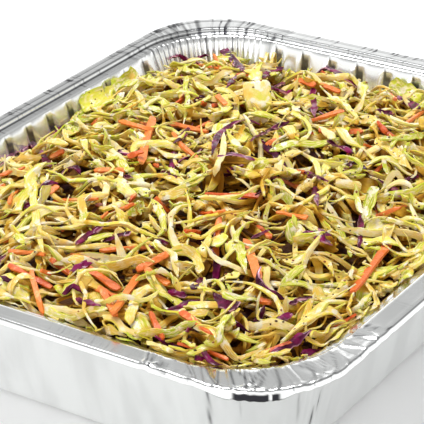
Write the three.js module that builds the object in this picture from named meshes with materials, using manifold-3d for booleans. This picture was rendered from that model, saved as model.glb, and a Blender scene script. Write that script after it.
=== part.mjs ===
// A half-size foil catering pan heaped with coleslaw.
// Millimetres, +Z up. The origin is the middle of the pan's underside, and X runs along its longer
// side. The pan is one pressed shell with a rolled bead round its flange. The coleslaw is one heap:
// a domed core that fills the pan, with the larger leaves, ribs, carrot sticks and shreds fused on.
import * as THREE from 'three';
import Module from 'manifold-3d';

const wasm = await Module();
wasm.setup();

// The pan. Insets are measured inwards from the outer edge of the bead.
const PAN_LENGTH = 324;
const PAN_WIDTH = 264;
const PAN_CORNER_RADIUS = 42;
const FOIL = 0.6;
const FLANGE_TOP = 59.2;
const FLANGE_INSET = 10;
const FLANGE_CORNER_RADIUS = 47;
const STEP_DEPTH = 2;
const STEP_RUN = 0.7;
const LEDGE_FALL = 0.2;
const LEDGE_ROUND = 0.9;
const WALL_TOP = 56.2;
const WALL_TOP_INSET = 15.4;
const WALL_TOP_RADIUS = 42;
const WALL_FOOT = 7;
const WALL_FOOT_INSET = 28.4;
const WALL_FOOT_RADIUS = 31;
const BASE_INSET = 35.6;
const BASE_RADIUS = 25;
const BEAD_RADIUS = 1.6;
const BEAD_SIDES = 8;
const BEAD_LEVEL = 58.9;
// The walls stand a little off the middle of the flange.
const WALL_SHIFT_Y = 1.6;

// The relief pressed into the walls: narrow upright flutes on the sides, pleats round the corners.
const FLUTE_PITCH = 16;
const FLUTE_WIDTH = 4.6;
const FLUTE_DEPTH = 0.9;
const FLUTE_FOOT = 11;
const FLUTE_HEAD = 50;
const FLUTES_LONG_SIDE = 13;
const FLUTES_SHORT_SIDE = 9;
const CORNER_STEPS = 14;
const LEAST_MITRE = 0.6;
const PLEAT_DEPTH = 0.9;
const FLANGE_PLEAT_DEPTH = 0.4;

// The heap. Its edge is lower along the pan's two far sides, +X and +Y, apart from a mound where
// they meet.
const GAP = 0.5;
const HEAP_TOP = 64.5;
const HEAP_EDGE = 48.5;
const HEAP_TILT = 4.5;
const TILT_REACH_X = 90;
const TILT_REACH_Y = 72;
const HEAP_HALF_X = 149;
const HEAP_HALF_Y = 119;
const HEAP_ROUNDNESS = 3.2;
const RIM_SQUARENESS = 4;
const MOUND = { height: 5.5, x: 100, y: 110, reachX: 45, reachY: 24 };
const BROAD_LUMPS = { height: 1.3, x: 15, y: 17, startX: 0.6, startY: 0.4 };
const SMALL_LUMPS = { height: 0.9, x: 7.3, y: 9.1 };
const LUMPS_LOST_AT_RIM = 0.6;
const CORE_CORNER_STEPS = 4;
const CORE_SIDE_STEPS = 7;
const CORE_RINGS = [0.12, 0.3, 0.48, 0.65, 0.8, 0.92];
const CORE_WALL_LEVELS = [30, WALL_FOOT, 2.9];
const RIM_PASSES = 5;

// The pieces pressed into the heap. A piece narrows towards its ends, and a leaf ripples along its
// length.
const HEAP_SEED = 20;
const STRIP_TAPER = 1.2;
const LEAF_TAPER = 1.3;
const LEAF_CELLS_LONG = 5;
const LEAF_CELLS_WIDE = 2;
const RIPPLE_RATE = 6;
const RIPPLE_START = 2;
const PIECE_SPACING = 27;
const ROW_SPACING = 0.87 * PIECE_SPACING;
const NET_ROWS = 6;
const NET_COLUMNS = 8;
const PLACE_DRIFT = 4.5;
const PLACE_MARGIN = 1.05;
const DRAW_ATTEMPTS = 8;
const RETRY = { turn: 0.7, length: 0.93, place: 0.985, arch: 0.8 };
const SLIVER = 0.1;

const FOIL_LOOK = { color: 0xd4d6d8, roughness: 0.3, metalness: 1 };
const CABBAGE_LOOK = { color: 0xd9dc9e, roughness: 0.45, metalness: 0 };

const QUARTER = Math.PI / 2;

// ---------------------------------------------------------------------------------------------
// Helpers for closed lofts
// ---------------------------------------------------------------------------------------------

// A point on a rounded rectangle. Whole numbers of s mark where corners and sides begin: a corner
// runs from an even s to the next odd one, and a side from there to the next even one.
function outlinePoint(outline, s, push = 0) {
  const part = Math.floor(s);
  const share = s - part;
  const corner = Math.floor(part / 2);
  const straightX = outline.halfX - outline.radius;
  const straightY = outline.halfY - outline.radius;
  const point = new THREE.Vector3(0, outline.shiftY, outline.z);
  if (part % 2 === 0) {
    const angle = (corner + share) * QUARTER;
    const signX = corner === 0 || corner === 3 ? 1 : -1;
    const signY = corner < 2 ? 1 : -1;
    point.x += signX * straightX + (outline.radius + push) * Math.cos(angle);
    point.y += signY * straightY + (outline.radius + push) * Math.sin(angle);
    return point;
  }
  const normal = (corner + 1) * QUARTER;
  const alongX = corner % 2 === 0;
  const straight = alongX ? straightX : straightY;
  const reach = (alongX ? outline.halfY : outline.halfX) + push;
  const along = (2 * share - 1) * straight;
  point.x += reach * Math.cos(normal) - along * Math.sin(normal);
  point.y += reach * Math.sin(normal) + along * Math.cos(normal);
  return point;
}

// Closes a stack of rings, each a list of { s, point } that starts at s = 0, into one solid. The
// first ring is capped upwards and the last one downwards, and rings may differ in their counts.
function loft(rings, firstPole, lastPole) {
  const positions = [];
  const triangles = [];
  const addPoint = (point) => positions.push(point.x, point.y, point.z) / 3 - 1;
  const indexed = rings.map((ring) => ring.map(({ s, point }) => ({ s, index: addPoint(point) })));
  const top = addPoint(firstPole);
  const bottom = addPoint(lastPole);
  const first = indexed[0];
  const last = indexed[indexed.length - 1];
  first.forEach((entry, i) => triangles.push(top, entry.index, first[(i + 1) % first.length].index));
  last.forEach((entry, i) => triangles.push(bottom, last[(i + 1) % last.length].index, entry.index));
  for (let band = 0; band + 1 < indexed.length; band += 1) {
    stitch(indexed[band], indexed[band + 1], triangles);
  }
  const geometry = new THREE.BufferGeometry();
  geometry.setAttribute('position', new THREE.Float32BufferAttribute(positions, 3));
  geometry.setIndex(triangles);
  return geometry;
}

// Joins two closed rings by walking both in step with s.
function stitch(inner, outer, triangles) {
  const full = 8;
  const at = (ring, i) => (i < ring.length ? ring[i].s : full + ring[i - ring.length].s);
  const index = (ring, i) => ring[i % ring.length].index;
  let i = 0;
  let j = 0;
  while (i < inner.length || j < outer.length) {
    const innerNext = i < inner.length && (j === outer.length || at(inner, i + 1) <= at(outer, j + 1));
    if (innerNext) {
      triangles.push(index(inner, i), index(outer, j), index(inner, i + 1));
      i += 1;
    } else {
      triangles.push(index(inner, i), index(outer, j), index(outer, j + 1));
      j += 1;
    }
  }
}

// ---------------------------------------------------------------------------------------------
// The pan
// ---------------------------------------------------------------------------------------------

// The inner face from the base out to the flange. Flutes are pressed into the walls, and pleats
// into the corners of all but the base and the flange's outer edge.
const wallSlope = (WALL_FOOT_INSET - WALL_TOP_INSET) / (WALL_TOP - WALL_FOOT);
const radiusSlope = (WALL_TOP_RADIUS - WALL_FOOT_RADIUS) / (WALL_TOP - WALL_FOOT);
const wallStation = (z, flute, pleat) => ({
  inset: WALL_FOOT_INSET - (z - WALL_FOOT) * wallSlope,
  radius: WALL_FOOT_RADIUS + (z - WALL_FOOT) * radiusSlope,
  z,
  flute,
  pleat,
});
const ledge = FLANGE_TOP - STEP_DEPTH;
const beadFoot = 2 * BEAD_RADIUS;
const filletShare = 1 - Math.SQRT1_2;
const INNER_FACE = [
  { inset: BASE_INSET, radius: BASE_RADIUS, z: FOIL, flute: 0, pleat: 0 },
  {
    inset: THREE.MathUtils.lerp(WALL_FOOT_INSET, BASE_INSET, filletShare),
    radius: THREE.MathUtils.lerp(WALL_FOOT_RADIUS, BASE_RADIUS, filletShare),
    z: THREE.MathUtils.lerp(FOIL, WALL_FOOT, filletShare),
    flute: 0,
    pleat: 0,
  },
  wallStation(WALL_FOOT, 0, 0),
  wallStation(FLUTE_FOOT, FLUTE_DEPTH, PLEAT_DEPTH),
  wallStation(FLUTE_HEAD, FLUTE_DEPTH, PLEAT_DEPTH),
  wallStation(WALL_TOP, 0, PLEAT_DEPTH),
  {
    inset: WALL_TOP_INSET - LEDGE_ROUND,
    radius: WALL_TOP_RADIUS + LEDGE_ROUND,
    z: ledge - LEDGE_FALL,
    flute: 0,
    pleat: PLEAT_DEPTH,
  },
  {
    inset: FLANGE_INSET + STEP_RUN,
    radius: FLANGE_CORNER_RADIUS - STEP_RUN,
    z: ledge,
    flute: 0,
    pleat: PLEAT_DEPTH,
  },
  { inset: FLANGE_INSET, radius: FLANGE_CORNER_RADIUS, z: FLANGE_TOP, flute: 0, pleat: FLANGE_PLEAT_DEPTH },
  { inset: beadFoot, radius: PAN_CORNER_RADIUS - beadFoot, z: FLANGE_TOP, flute: 0, pleat: 0 },
];

// The outer face is the inner one moved by the foil's thickness, square to the section. Both ends
// of the section lie flat.
function offsetStations(stations, thickness) {
  return stations.map((station, i) => {
    const before = stations[Math.max(i - 1, 0)];
    const after = stations[Math.min(i + 1, stations.length - 1)];
    const down = new THREE.Vector2(0, -1);
    const normals = [[before, station], [station, after]].map(([a, b]) => (
      a === b ? down : new THREE.Vector2(b.z - a.z, b.inset - a.inset).normalize()));
    const mean = normals[0].clone().add(normals[1]).normalize();
    const mitre = thickness / Math.max(mean.dot(normals[0]), LEAST_MITRE);
    return {
      ...station,
      inset: station.inset - mean.x * mitre,
      radius: station.radius + mean.x * mitre,
      z: station.z + mean.y * mitre,
    };
  });
}

// The bead from the flange over its top, round its outer side and under it.
function beadStations() {
  const stations = [];
  for (let k = 1; k < BEAD_SIDES; k += 1) {
    const angle = k * 4 * QUARTER / BEAD_SIDES;
    const inset = BEAD_RADIUS * (1 + Math.cos(angle));
    const z = BEAD_LEVEL + BEAD_RADIUS * Math.sin(angle);
    stations.push({ inset, radius: PAN_CORNER_RADIUS - inset, z, flute: 0, pleat: 0 });
  }
  return stations;
}

// The walls' shift fades out towards the base.
const wallShift = (z) => WALL_SHIFT_Y * THREE.MathUtils.clamp(z / WALL_TOP, 0, 1);

function panRing(station) {
  const offFlange = THREE.MathUtils.smoothstep(station.inset, beadFoot, FLANGE_INSET);
  const outline = {
    halfX: PAN_LENGTH / 2 - station.inset,
    halfY: PAN_WIDTH / 2 - station.inset,
    radius: station.radius,
    shiftY: wallShift(station.z) * offFlange,
    z: station.z,
  };
  const ring = [];
  for (let corner = 0; corner < 4; corner += 1) {
    for (let step = 0; step <= CORNER_STEPS; step += 1) {
      const s = 2 * corner + step / CORNER_STEPS;
      ring.push({ s, point: outlinePoint(outline, s, station.pleat * (step % 2)) });
    }
    if (station.flute > 0) {
      const straight = (corner % 2 === 0 ? outline.halfX : outline.halfY) - outline.radius;
      const count = corner % 2 === 0 ? FLUTES_LONG_SIDE : FLUTES_SHORT_SIDE;
      for (let k = 0; k < count; k += 1) {
        const middle = (k - (count - 1) / 2) * FLUTE_PITCH;
        [-0.5, 0, 0.5].forEach((across) => {
          const s = 2 * corner + 1 + ((middle + across * FLUTE_WIDTH) / straight + 1) / 2;
          ring.push({ s, point: outlinePoint(outline, s, across === 0 ? station.flute : 0) });
        });
      }
    }
  }
  return ring;
}

function makePan() {
  const outerFace = offsetStations(INNER_FACE, FOIL).reverse();
  const stations = [...INNER_FACE, ...beadStations(), ...outerFace];
  const rings = stations.map(panRing);
  const inside = new THREE.Vector3(0, 0, FOIL);
  const underside = new THREE.Vector3(0, 0, outerFace[outerFace.length - 1].z);
  return loft(rings, inside, underside);
}

// ---------------------------------------------------------------------------------------------
// The room inside the pan
// ---------------------------------------------------------------------------------------------

// The outline of the inner face at a height, drawn in by the gap that the food keeps.
function roomAt(z) {
  const last = INNER_FACE.length - 1;
  let above = 1;
  while (above < last && INNER_FACE[above].z < z) {
    above += 1;
  }
  const low = INNER_FACE[above - 1];
  const high = INNER_FACE[above];
  const share = THREE.MathUtils.clamp((z - low.z) / (high.z - low.z), 0, 1);
  const inset = THREE.MathUtils.lerp(low.inset, high.inset, share) + GAP;
  return {
    halfX: PAN_LENGTH / 2 - inset,
    halfY: PAN_WIDTH / 2 - inset,
    radius: THREE.MathUtils.lerp(low.radius, high.radius, share) - GAP,
    shiftY: wallShift(z),
    z,
  };
}

function isInRoom(point) {
  const room = roomAt(point.z);
  const beyondX = Math.max(Math.abs(point.x) - (room.halfX - room.radius), 0);
  const beyondY = Math.max(Math.abs(point.y - room.shiftY) - (room.halfY - room.radius), 0);
  return point.z > FOIL + GAP && Math.hypot(beyondX, beyondY) < room.radius;
}

// ---------------------------------------------------------------------------------------------
// The coleslaw
// ---------------------------------------------------------------------------------------------

// Mulberry32, so that every build draws the same numbers.
function seededRandom(seed) {
  let state = seed;
  return () => {
    state = (state + 0x6d2b79f5) | 0;
    let mixed = Math.imul(state ^ (state >>> 15), 1 | state);
    mixed = (mixed + Math.imul(mixed ^ (mixed >>> 7), 61 | mixed)) ^ mixed;
    return ((mixed ^ (mixed >>> 14)) >>> 0) / 4294967296;
  };
}

const random = seededRandom(HEAP_SEED);
const between = (low, high) => low + (high - low) * random();

// The top of the core, which the loose pieces are pressed into.
function heapLevel(x, y) {
  const acrossX = Math.min(1, Math.abs(x) / HEAP_HALF_X);
  const acrossY = Math.min(1, Math.abs(y) / HEAP_HALF_Y);
  const rim = Math.min(1, (acrossX ** RIM_SQUARENESS + acrossY ** RIM_SQUARENESS) ** (1 / RIM_SQUARENESS));
  const edge = HEAP_EDGE - HEAP_TILT * Math.tanh(x / TILT_REACH_X + y / TILT_REACH_Y);
  const broadX = Math.sin(x / BROAD_LUMPS.x + BROAD_LUMPS.startX);
  const broadY = Math.cos(y / BROAD_LUMPS.y - BROAD_LUMPS.startY);
  const small = Math.sin(x / SMALL_LUMPS.x - y / SMALL_LUMPS.y);
  const lumps = BROAD_LUMPS.height * broadX * broadY + SMALL_LUMPS.height * small;
  const fromMound = Math.hypot((x - MOUND.x) / MOUND.reachX, (y - MOUND.y) / MOUND.reachY);
  const mound = MOUND.height * Math.exp(-0.5 * fromMound ** 2);
  const lumpShare = 1 - LUMPS_LOST_AT_RIM * rim ** RIM_SQUARENESS;
  return edge + (HEAP_TOP - edge) * (1 - rim ** HEAP_ROUNDNESS) + lumps * lumpShare + mound;
}

function makeCore() {
  const detail = [];
  for (let corner = 0; corner < 4; corner += 1) {
    for (let step = 0; step < CORE_CORNER_STEPS; step += 1) {
      detail.push(2 * corner + step / CORE_CORNER_STEPS);
    }
    for (let step = 0; step < CORE_SIDE_STEPS; step += 1) {
      detail.push(2 * corner + 1 + step / CORE_SIDE_STEPS);
    }
  }
  // The rim settles where the heap's level meets the wall.
  const rim = detail.map((s) => {
    let point = outlinePoint(roomAt(HEAP_EDGE), s);
    for (let pass = 0; pass < RIM_PASSES; pass += 1) {
      point = outlinePoint(roomAt(heapLevel(point.x, point.y)), s);
    }
    return { s, point };
  });
  const domeRings = CORE_RINGS.map((scale) => rim.map(({ s, point }) => {
    const x = point.x * scale;
    const y = point.y * scale;
    return { s, point: new THREE.Vector3(x, y, heapLevel(x, y)) };
  }));
  const floorZ = FOIL + GAP;
  const wallRings = [...CORE_WALL_LEVELS, floorZ].map((z) => (
    detail.map((s) => ({ s, point: outlinePoint(roomAt(z), s) }))));
  const rings = [...domeRings, rim, ...wallRings];
  const crown = new THREE.Vector3(0, 0, heapLevel(0, 0));
  return loft(rings, crown, new THREE.Vector3(0, 0, floorZ));
}

// A curled strip of four sides: it bows sideways by its curl, rises by its arch and rolls over by
// its twist, and its ends are a little narrower than its middle.
function makeStrip({ x, y, heading, length, width, thickness, curl, arch, lift, roll, twist, steps }) {
  const positions = [];
  const triangles = [];
  for (let k = 0; k <= steps; k += 1) {
    const along = k / steps - 0.5;
    const turn = heading + curl * along;
    const bow = length * along * along * curl * 0.5;
    const pointX = x + length * along * Math.cos(heading) - bow * Math.sin(heading);
    const pointY = y + length * along * Math.sin(heading) + bow * Math.cos(heading);
    const pointZ = heapLevel(pointX, pointY) + lift + arch * (1 - 4 * along * along);
    const rolled = roll + twist * along;
    const side = new THREE.Vector3(-Math.sin(turn), Math.cos(turn), 0).multiplyScalar(Math.cos(rolled));
    side.z = Math.sin(rolled);
    const tangent = new THREE.Vector3(Math.cos(turn), Math.sin(turn), -8 * arch * along / length).normalize();
    const up = tangent.clone().cross(side).normalize();
    const taper = 1 - STRIP_TAPER * along * along;
    [[-1, -1], [1, -1], [1, 1], [-1, 1]].forEach(([across, over]) => {
      const corner = new THREE.Vector3(pointX, pointY, pointZ);
      corner.addScaledVector(side, across * taper * width / 2);
      corner.addScaledVector(up, over * taper * thickness / 2);
      positions.push(corner.x, corner.y, corner.z);
    });
  }
  for (let k = 0; k < steps; k += 1) {
    for (let face = 0; face < 4; face += 1) {
      const a = 4 * k + face;
      const b = 4 * k + (face + 1) % 4;
      triangles.push(a, b, b + 4, a, b + 4, a + 4);
    }
  }
  const end = 4 * steps;
  triangles.push(0, 3, 2, 0, 2, 1, end, end + 1, end + 2, end, end + 2, end + 3);
  return { positions, triangles };
}

// A piece of leaf: a thin wavy sheet whose two faces are split alike.
function makeLeaf({ x, y, heading, length, width, thickness, lift, roll, wave }) {
  const positions = [];
  const triangles = [];
  const rows = LEAF_CELLS_LONG + 1;
  const columns = LEAF_CELLS_WIDE + 1;
  for (let face = 0; face < 2; face += 1) {
    for (let i = 0; i < rows; i += 1) {
      for (let j = 0; j < columns; j += 1) {
        const along = i / LEAF_CELLS_LONG - 0.5;
        const across = (j / LEAF_CELLS_WIDE - 0.5) * (1 - LEAF_TAPER * along * along);
        const pointX = x + length * along * Math.cos(heading) - width * across * Math.sin(heading);
        const pointY = y + length * along * Math.sin(heading) + width * across * Math.cos(heading);
        const ripple = wave * Math.sin(RIPPLE_RATE * along + RIPPLE_START) * (1 + 2 * across);
        const pointZ = heapLevel(pointX, pointY) + lift + ripple + roll * width * across;
        positions.push(pointX, pointY, pointZ + (face - 0.5) * thickness);
      }
    }
  }
  const at = (face, i, j) => (face * rows + i) * columns + j;
  const quad = (a, b, c, d) => triangles.push(a, b, c, a, c, d);
  const endRow = LEAF_CELLS_LONG;
  const endColumn = LEAF_CELLS_WIDE;
  for (let i = 0; i < endRow; i += 1) {
    for (let j = 0; j < endColumn; j += 1) {
      quad(at(1, i, j), at(1, i + 1, j), at(1, i + 1, j + 1), at(1, i, j + 1));
      quad(at(0, i, j), at(0, i, j + 1), at(0, i + 1, j + 1), at(0, i + 1, j));
    }
    quad(at(0, i, 0), at(0, i + 1, 0), at(1, i + 1, 0), at(1, i, 0));
    quad(at(0, i + 1, endColumn), at(0, i, endColumn), at(1, i, endColumn), at(1, i + 1, endColumn));
  }
  for (let j = 0; j < endColumn; j += 1) {
    quad(at(0, 0, j + 1), at(0, 0, j), at(1, 0, j), at(1, 0, j + 1));
    quad(at(0, endRow, j), at(0, endRow, j + 1), at(1, endRow, j + 1), at(1, endRow, j));
  }
  return { positions, triangles };
}

// The kinds of piece, the largest first. Each share is spread evenly over the heap.
const KINDS = [
  { share: 0.1, make: makeLeaf, length: [26, 38], width: [11, 15], thickness: [1.3, 1.6],
    lift: [0.4, 1.2], roll: [-0.2, 0.2], wave: [0.6, 1.3] },
  { share: 0.1, make: makeStrip, length: [16, 26], width: [8, 12], thickness: [4, 5.5], curl: [-0.8, 0.8],
    arch: [0, 1], lift: [0.6, 2], roll: [-0.4, 0.4], twist: [-0.3, 0.3], steps: 2 },
  { share: 0.16, make: makeStrip, length: [40, 58], width: [5, 7.5], thickness: [1.8, 2.4],
    curl: [-1.6, 1.6], arch: [0, 2], lift: [0.3, 1.2], roll: [-0.6, 0.6], twist: [-0.8, 0.8], steps: 4 },
  { share: 0.24, make: makeStrip, length: [26, 44], width: [3.6, 4.6], thickness: [3, 3.6],
    curl: [-0.4, 0.4], arch: [0, 1.5], lift: [0.4, 1.6], roll: [-0.5, 0.5], twist: [-0.3, 0.3], steps: 3 },
  { share: 0.4, make: makeStrip, length: [34, 56], width: [3, 4.2], thickness: [2.2, 2.8],
    curl: [-2, 2], arch: [0, 5], lift: [0.3, 1.2], roll: [-0.8, 0.8], twist: [-1, 1], steps: 4 },
];

// One place for each cell of a staggered net over the heap, moved a little at random.
function heapPlaces() {
  const places = [];
  for (let row = -NET_ROWS; row <= NET_ROWS; row += 1) {
    for (let column = -NET_COLUMNS; column <= NET_COLUMNS; column += 1) {
      const stagger = row % 2 === 0 ? 0 : 0.5;
      const x = (column + stagger) * PIECE_SPACING + between(-PLACE_DRIFT, PLACE_DRIFT);
      const y = row * ROW_SPACING + between(-PLACE_DRIFT, PLACE_DRIFT);
      const probe = new THREE.Vector3(x * PLACE_MARGIN, y * PLACE_MARGIN, heapLevel(x, y));
      if (isInRoom(probe)) {
        places.push({ x, y, rank: random() });
      }
    }
  }
  return places.sort((a, b) => a.rank - b.rank);
}

const isClear = ({ positions }) => {
  for (let i = 0; i < positions.length; i += 3) {
    if (!isInRoom(new THREE.Vector3(positions[i], positions[i + 1], positions[i + 2]))) {
      return false;
    }
  }
  return true;
};

// Draws one piece of a kind. A piece that would cross the pan is turned and shortened, and left
// out when that does not clear it.
function drawPiece(kind, place) {
  const settings = { ...place, heading: between(0, Math.PI), steps: kind.steps };
  Object.entries(kind).filter(([, value]) => Array.isArray(value)).forEach(([key, [low, high]]) => {
    settings[key] = between(low, high);
  });
  for (let attempt = 0; attempt < DRAW_ATTEMPTS; attempt += 1) {
    const piece = kind.make(settings);
    if (isClear(piece)) {
      return piece;
    }
    settings.heading += RETRY.turn;
    settings.length *= RETRY.length;
    settings.x *= RETRY.place;
    settings.y *= RETRY.place;
    settings.arch *= RETRY.arch;
  }
  return null;
}

function toSolid(positions, triangles) {
  return new wasm.Manifold(new wasm.Mesh({
    numProp: 3,
    vertProperties: new Float32Array(positions),
    triVerts: new Uint32Array(triangles),
  }));
}

function makeHeap() {
  const core = makeCore();
  let heap = toSolid(core.attributes.position.array, core.index.array);
  const places = heapPlaces();
  let start = 0;
  KINDS.forEach((kind) => {
    const count = Math.round(kind.share * places.length);
    places.slice(start, start + count).forEach((place) => {
      const piece = drawPiece(kind, place);
      if (piece) {
        heap = heap.add(toSolid(piece.positions, piece.triangles));
      }
    });
    start += count;
  });
  // Slivers left by the joins go first. The largest shell alone is kept then, so that sealed hollows
  // are filled and loose scraps dropped.
  const shells = heap.simplify(SLIVER).decompose();
  const largest = shells.reduce((best, shell) => (shell.volume() > best.volume() ? shell : best));
  const mesh = largest.getMesh();
  const geometry = new THREE.BufferGeometry();
  geometry.setAttribute('position', new THREE.BufferAttribute(mesh.vertProperties, 3));
  geometry.setIndex(new THREE.BufferAttribute(mesh.triVerts, 1));
  return geometry;
}

// ---------------------------------------------------------------------------------------------
// The part
// ---------------------------------------------------------------------------------------------

function namedMesh(name, geometry, look) {
  geometry.computeVertexNormals();
  const mesh = new THREE.Mesh(geometry, new THREE.MeshStandardMaterial(look));
  mesh.name = name;
  return mesh;
}

const part = new THREE.Group();
part.add(namedMesh('tray', makePan(), FOIL_LOOK));
part.add(namedMesh('coleslaw', makeHeap(), CABBAGE_LOOK));

export default part;
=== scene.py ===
# Coleslaw heaped in a half-size foil catering pan.
# Metres, +Z up: the origin is the middle of the pan's underside and X runs along its longer side.
# Shapes are worked out in millimetres, and become metres where a mesh is made of them.
import math

import bpy
import numpy as np
from mathutils import Matrix, Vector


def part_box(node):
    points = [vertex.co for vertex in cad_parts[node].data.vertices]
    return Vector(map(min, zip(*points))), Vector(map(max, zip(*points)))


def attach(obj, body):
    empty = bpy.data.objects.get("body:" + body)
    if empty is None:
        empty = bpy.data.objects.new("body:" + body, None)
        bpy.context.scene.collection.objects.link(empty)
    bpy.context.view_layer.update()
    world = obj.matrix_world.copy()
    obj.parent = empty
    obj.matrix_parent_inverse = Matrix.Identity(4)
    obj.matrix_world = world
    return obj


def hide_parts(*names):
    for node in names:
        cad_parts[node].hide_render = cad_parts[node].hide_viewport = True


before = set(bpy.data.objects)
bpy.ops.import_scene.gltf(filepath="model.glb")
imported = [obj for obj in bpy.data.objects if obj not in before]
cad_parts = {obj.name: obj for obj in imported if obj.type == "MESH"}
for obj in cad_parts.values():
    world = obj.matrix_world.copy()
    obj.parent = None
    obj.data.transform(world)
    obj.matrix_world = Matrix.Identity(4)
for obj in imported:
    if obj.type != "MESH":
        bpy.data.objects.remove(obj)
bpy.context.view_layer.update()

# ------------------------------------------------------------------------------------------------
# Camera, light and floor
# A long lens looks down over one corner of the pan. A broad soft light hangs high over the far side,
# a low weak one fills in from -X, and a card lights the floor by the -Y wall. The white room's wall is
# taller at -X, and the white floor glows faintly.
# ------------------------------------------------------------------------------------------------
MM = 0.001
RIM_LEVEL = 59.3
CAMERA_BEARING = math.radians(34.28)
CAMERA_ELEVATION = math.radians(26.467)
CAMERA_ROLL = math.radians(-1.608)
CAMERA_DISTANCE = 959.58
CAMERA_SLIDE = (-9.374, -18.463)
LENS = 179.77
SENSOR = 36
FRAME_PIXELS = 424
WHITE = (1, 1, 1, 1)
WALL_LIGHT = 1.22
CEILING_LIGHT = 0.44
OVERHEAD_LIGHT = 0.1
TALLER_WALL = 0.22
FLOOR_HALF = 6
FLOOR_GLOW = 0.07

back = Vector((
    -math.cos(CAMERA_BEARING) * math.cos(CAMERA_ELEVATION),
    -math.sin(CAMERA_BEARING) * math.cos(CAMERA_ELEVATION),
    math.sin(CAMERA_ELEVATION),
))
level_right = (-back).cross(Vector((0, 0, 1))).normalized()
level_up = level_right.cross(-back)
camera_right = math.cos(CAMERA_ROLL) * level_right + math.sin(CAMERA_ROLL) * level_up
camera_up = math.cos(CAMERA_ROLL) * level_up - math.sin(CAMERA_ROLL) * level_right
camera_place = (back * CAMERA_DISTANCE + camera_right * CAMERA_SLIDE[0]
                + camera_up * CAMERA_SLIDE[1] + Vector((0, 0, RIM_LEVEL)))

camera_data = bpy.data.cameras.new("camera")
camera_data.lens = LENS
camera_data.sensor_width = SENSOR
camera = bpy.data.objects.new("camera", camera_data)
turn = Matrix((camera_right, camera_up, back)).transposed().to_4x4()
camera.matrix_world = Matrix.Translation(camera_place * MM) @ turn
bpy.context.collection.objects.link(camera)
bpy.context.scene.camera = camera
bpy.context.scene.view_settings.view_transform = "Standard"


class Wire:
    """A shader value that takes part in arithmetic: an expression on it adds its Math nodes."""

    def __init__(self, tree, socket=None):
        self.tree = tree
        self.socket = socket

    def node(self, kind, settings=None, inputs=None, output=0):
        """A new node: its settings are made first, then its inputs' values or links."""
        made = self.tree.nodes.new(kind)
        for key, value in (settings or {}).items():
            if key == "stops":
                ramp = made.color_ramp
                while len(ramp.elements) < len(value):
                    ramp.elements.new(0.5)
                for element, (position, color) in zip(ramp.elements, value):
                    element.position = position
                    element.color = (*color, 1)
            else:
                setattr(made, key, value)
        for key, value in (inputs or {}).items():
            if isinstance(value, Wire):
                self.tree.links.new(value.socket, made.inputs[key])
            else:
                made.inputs[key].default_value = value
        return Wire(self.tree, made.outputs[output])

    def maths(self, operation, first, second=0.0, clamp=False):
        settings = {"operation": operation, "use_clamp": clamp}
        return self.node("ShaderNodeMath", settings, {0: first, 1: second})

    def __add__(self, other):
        return self.maths("ADD", self, other)

    def __sub__(self, other):
        return self.maths("SUBTRACT", self, other)

    def __rsub__(self, other):
        return self.maths("SUBTRACT", other, self)

    def __mul__(self, other):
        return self.maths("MULTIPLY", self, other)

    __radd__ = __add__
    __rmul__ = __mul__

    def blend(self, low, high):
        """low where this mask is 0 and high where it is 1, both colours."""
        return self.node("ShaderNodeMix", {"data_type": "RGBA"}, {0: self, 6: low, 7: high}, output=2)

    def between(self, low, high):
        """This value's stretch from low to high, as 0 to 1."""
        return self.node("ShaderNodeMapRange", {"interpolation_type": "SMOOTHSTEP"},
                         {"Value": self, "From Min": low, "From Max": high})

    def noise(self, scale, detail=3.0, stretch=(1, 1, 1)):
        """A cloudy value from 0 to 1 over these coordinates."""
        placed = self.node("ShaderNodeMapping", None, {"Vector": self, "Scale": stretch})
        return self.node("ShaderNodeTexNoise", None, {"Vector": placed, "Scale": scale, "Detail": detail})

    def axis(self, name):
        return self.node("ShaderNodeSeparateXYZ", None, {"Vector": self}, output=name)

    def attribute(self, name, output="Fac"):
        return self.node("ShaderNodeAttribute", {"attribute_name": name}, output=output)


def finish(name, **fixed):
    """A new material, its surface shader and a Wire at the piece's Object coordinates."""
    material = bpy.data.materials.new(name)
    material.use_nodes = True
    shader = material.node_tree.nodes["Principled BSDF"]
    for key, value in fixed.items():
        shader.inputs[key.replace("_", " ")].default_value = value
    place = Wire(material.node_tree).node("ShaderNodeTexCoord", output="Object")
    return material, shader, place


def feed(shader, key, wire):
    wire.tree.links.new(wire.socket, shader.inputs[key])


def roughen(shader, strength, distance, height):
    """Bumps a surface by a height, in metres at most distance."""
    relief = {"Strength": strength, "Distance": distance, "Height": height}
    feed(shader, "Normal", height.node("ShaderNodeBump", None, relief))


world = bpy.data.worlds.new("white room")
world.use_nodes = True
room_light = world.node_tree.nodes["Background"]
room_light.inputs["Color"].default_value = WHITE
ray = Wire(world.node_tree).node("ShaderNodeTexCoord", output="Generated")
height = ray.axis("Z")
wall_top = TALLER_WALL * ray.axis("X").between(-0.2, -0.5)
ceiling = (height - wall_top).between(0.28, 0.43)
overhead = height.between(0.55, 0.8)
feed(room_light, "Strength",
     WALL_LIGHT + (CEILING_LIGHT - WALL_LIGHT) * ceiling + OVERHEAD_LIGHT * overhead)
bpy.context.scene.world = world


def softbox(name, place, width, length, power, aim=(0, 0, 0)):
    data = bpy.data.lights.new(name, "AREA")
    data.shape = "RECTANGLE"
    data.size = width
    data.size_y = length
    data.energy = power
    light = bpy.data.objects.new(name, data)
    light.location = place
    light.rotation_euler = (Vector(aim) - Vector(place)).to_track_quat("-Z", "Y").to_euler()
    bpy.context.collection.objects.link(light)


softbox("key", (0.4, 0.5, 1.9), 1.0, 1.0, 38)
softbox("side", (-1.9, -0.1, 0.5), 1.0, 0.7, 6)
softbox("white card", (0.874, 0.178, 0.21), 0.75, 0.42, 0.6, aim=(0.194, -0.285, 0))

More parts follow.
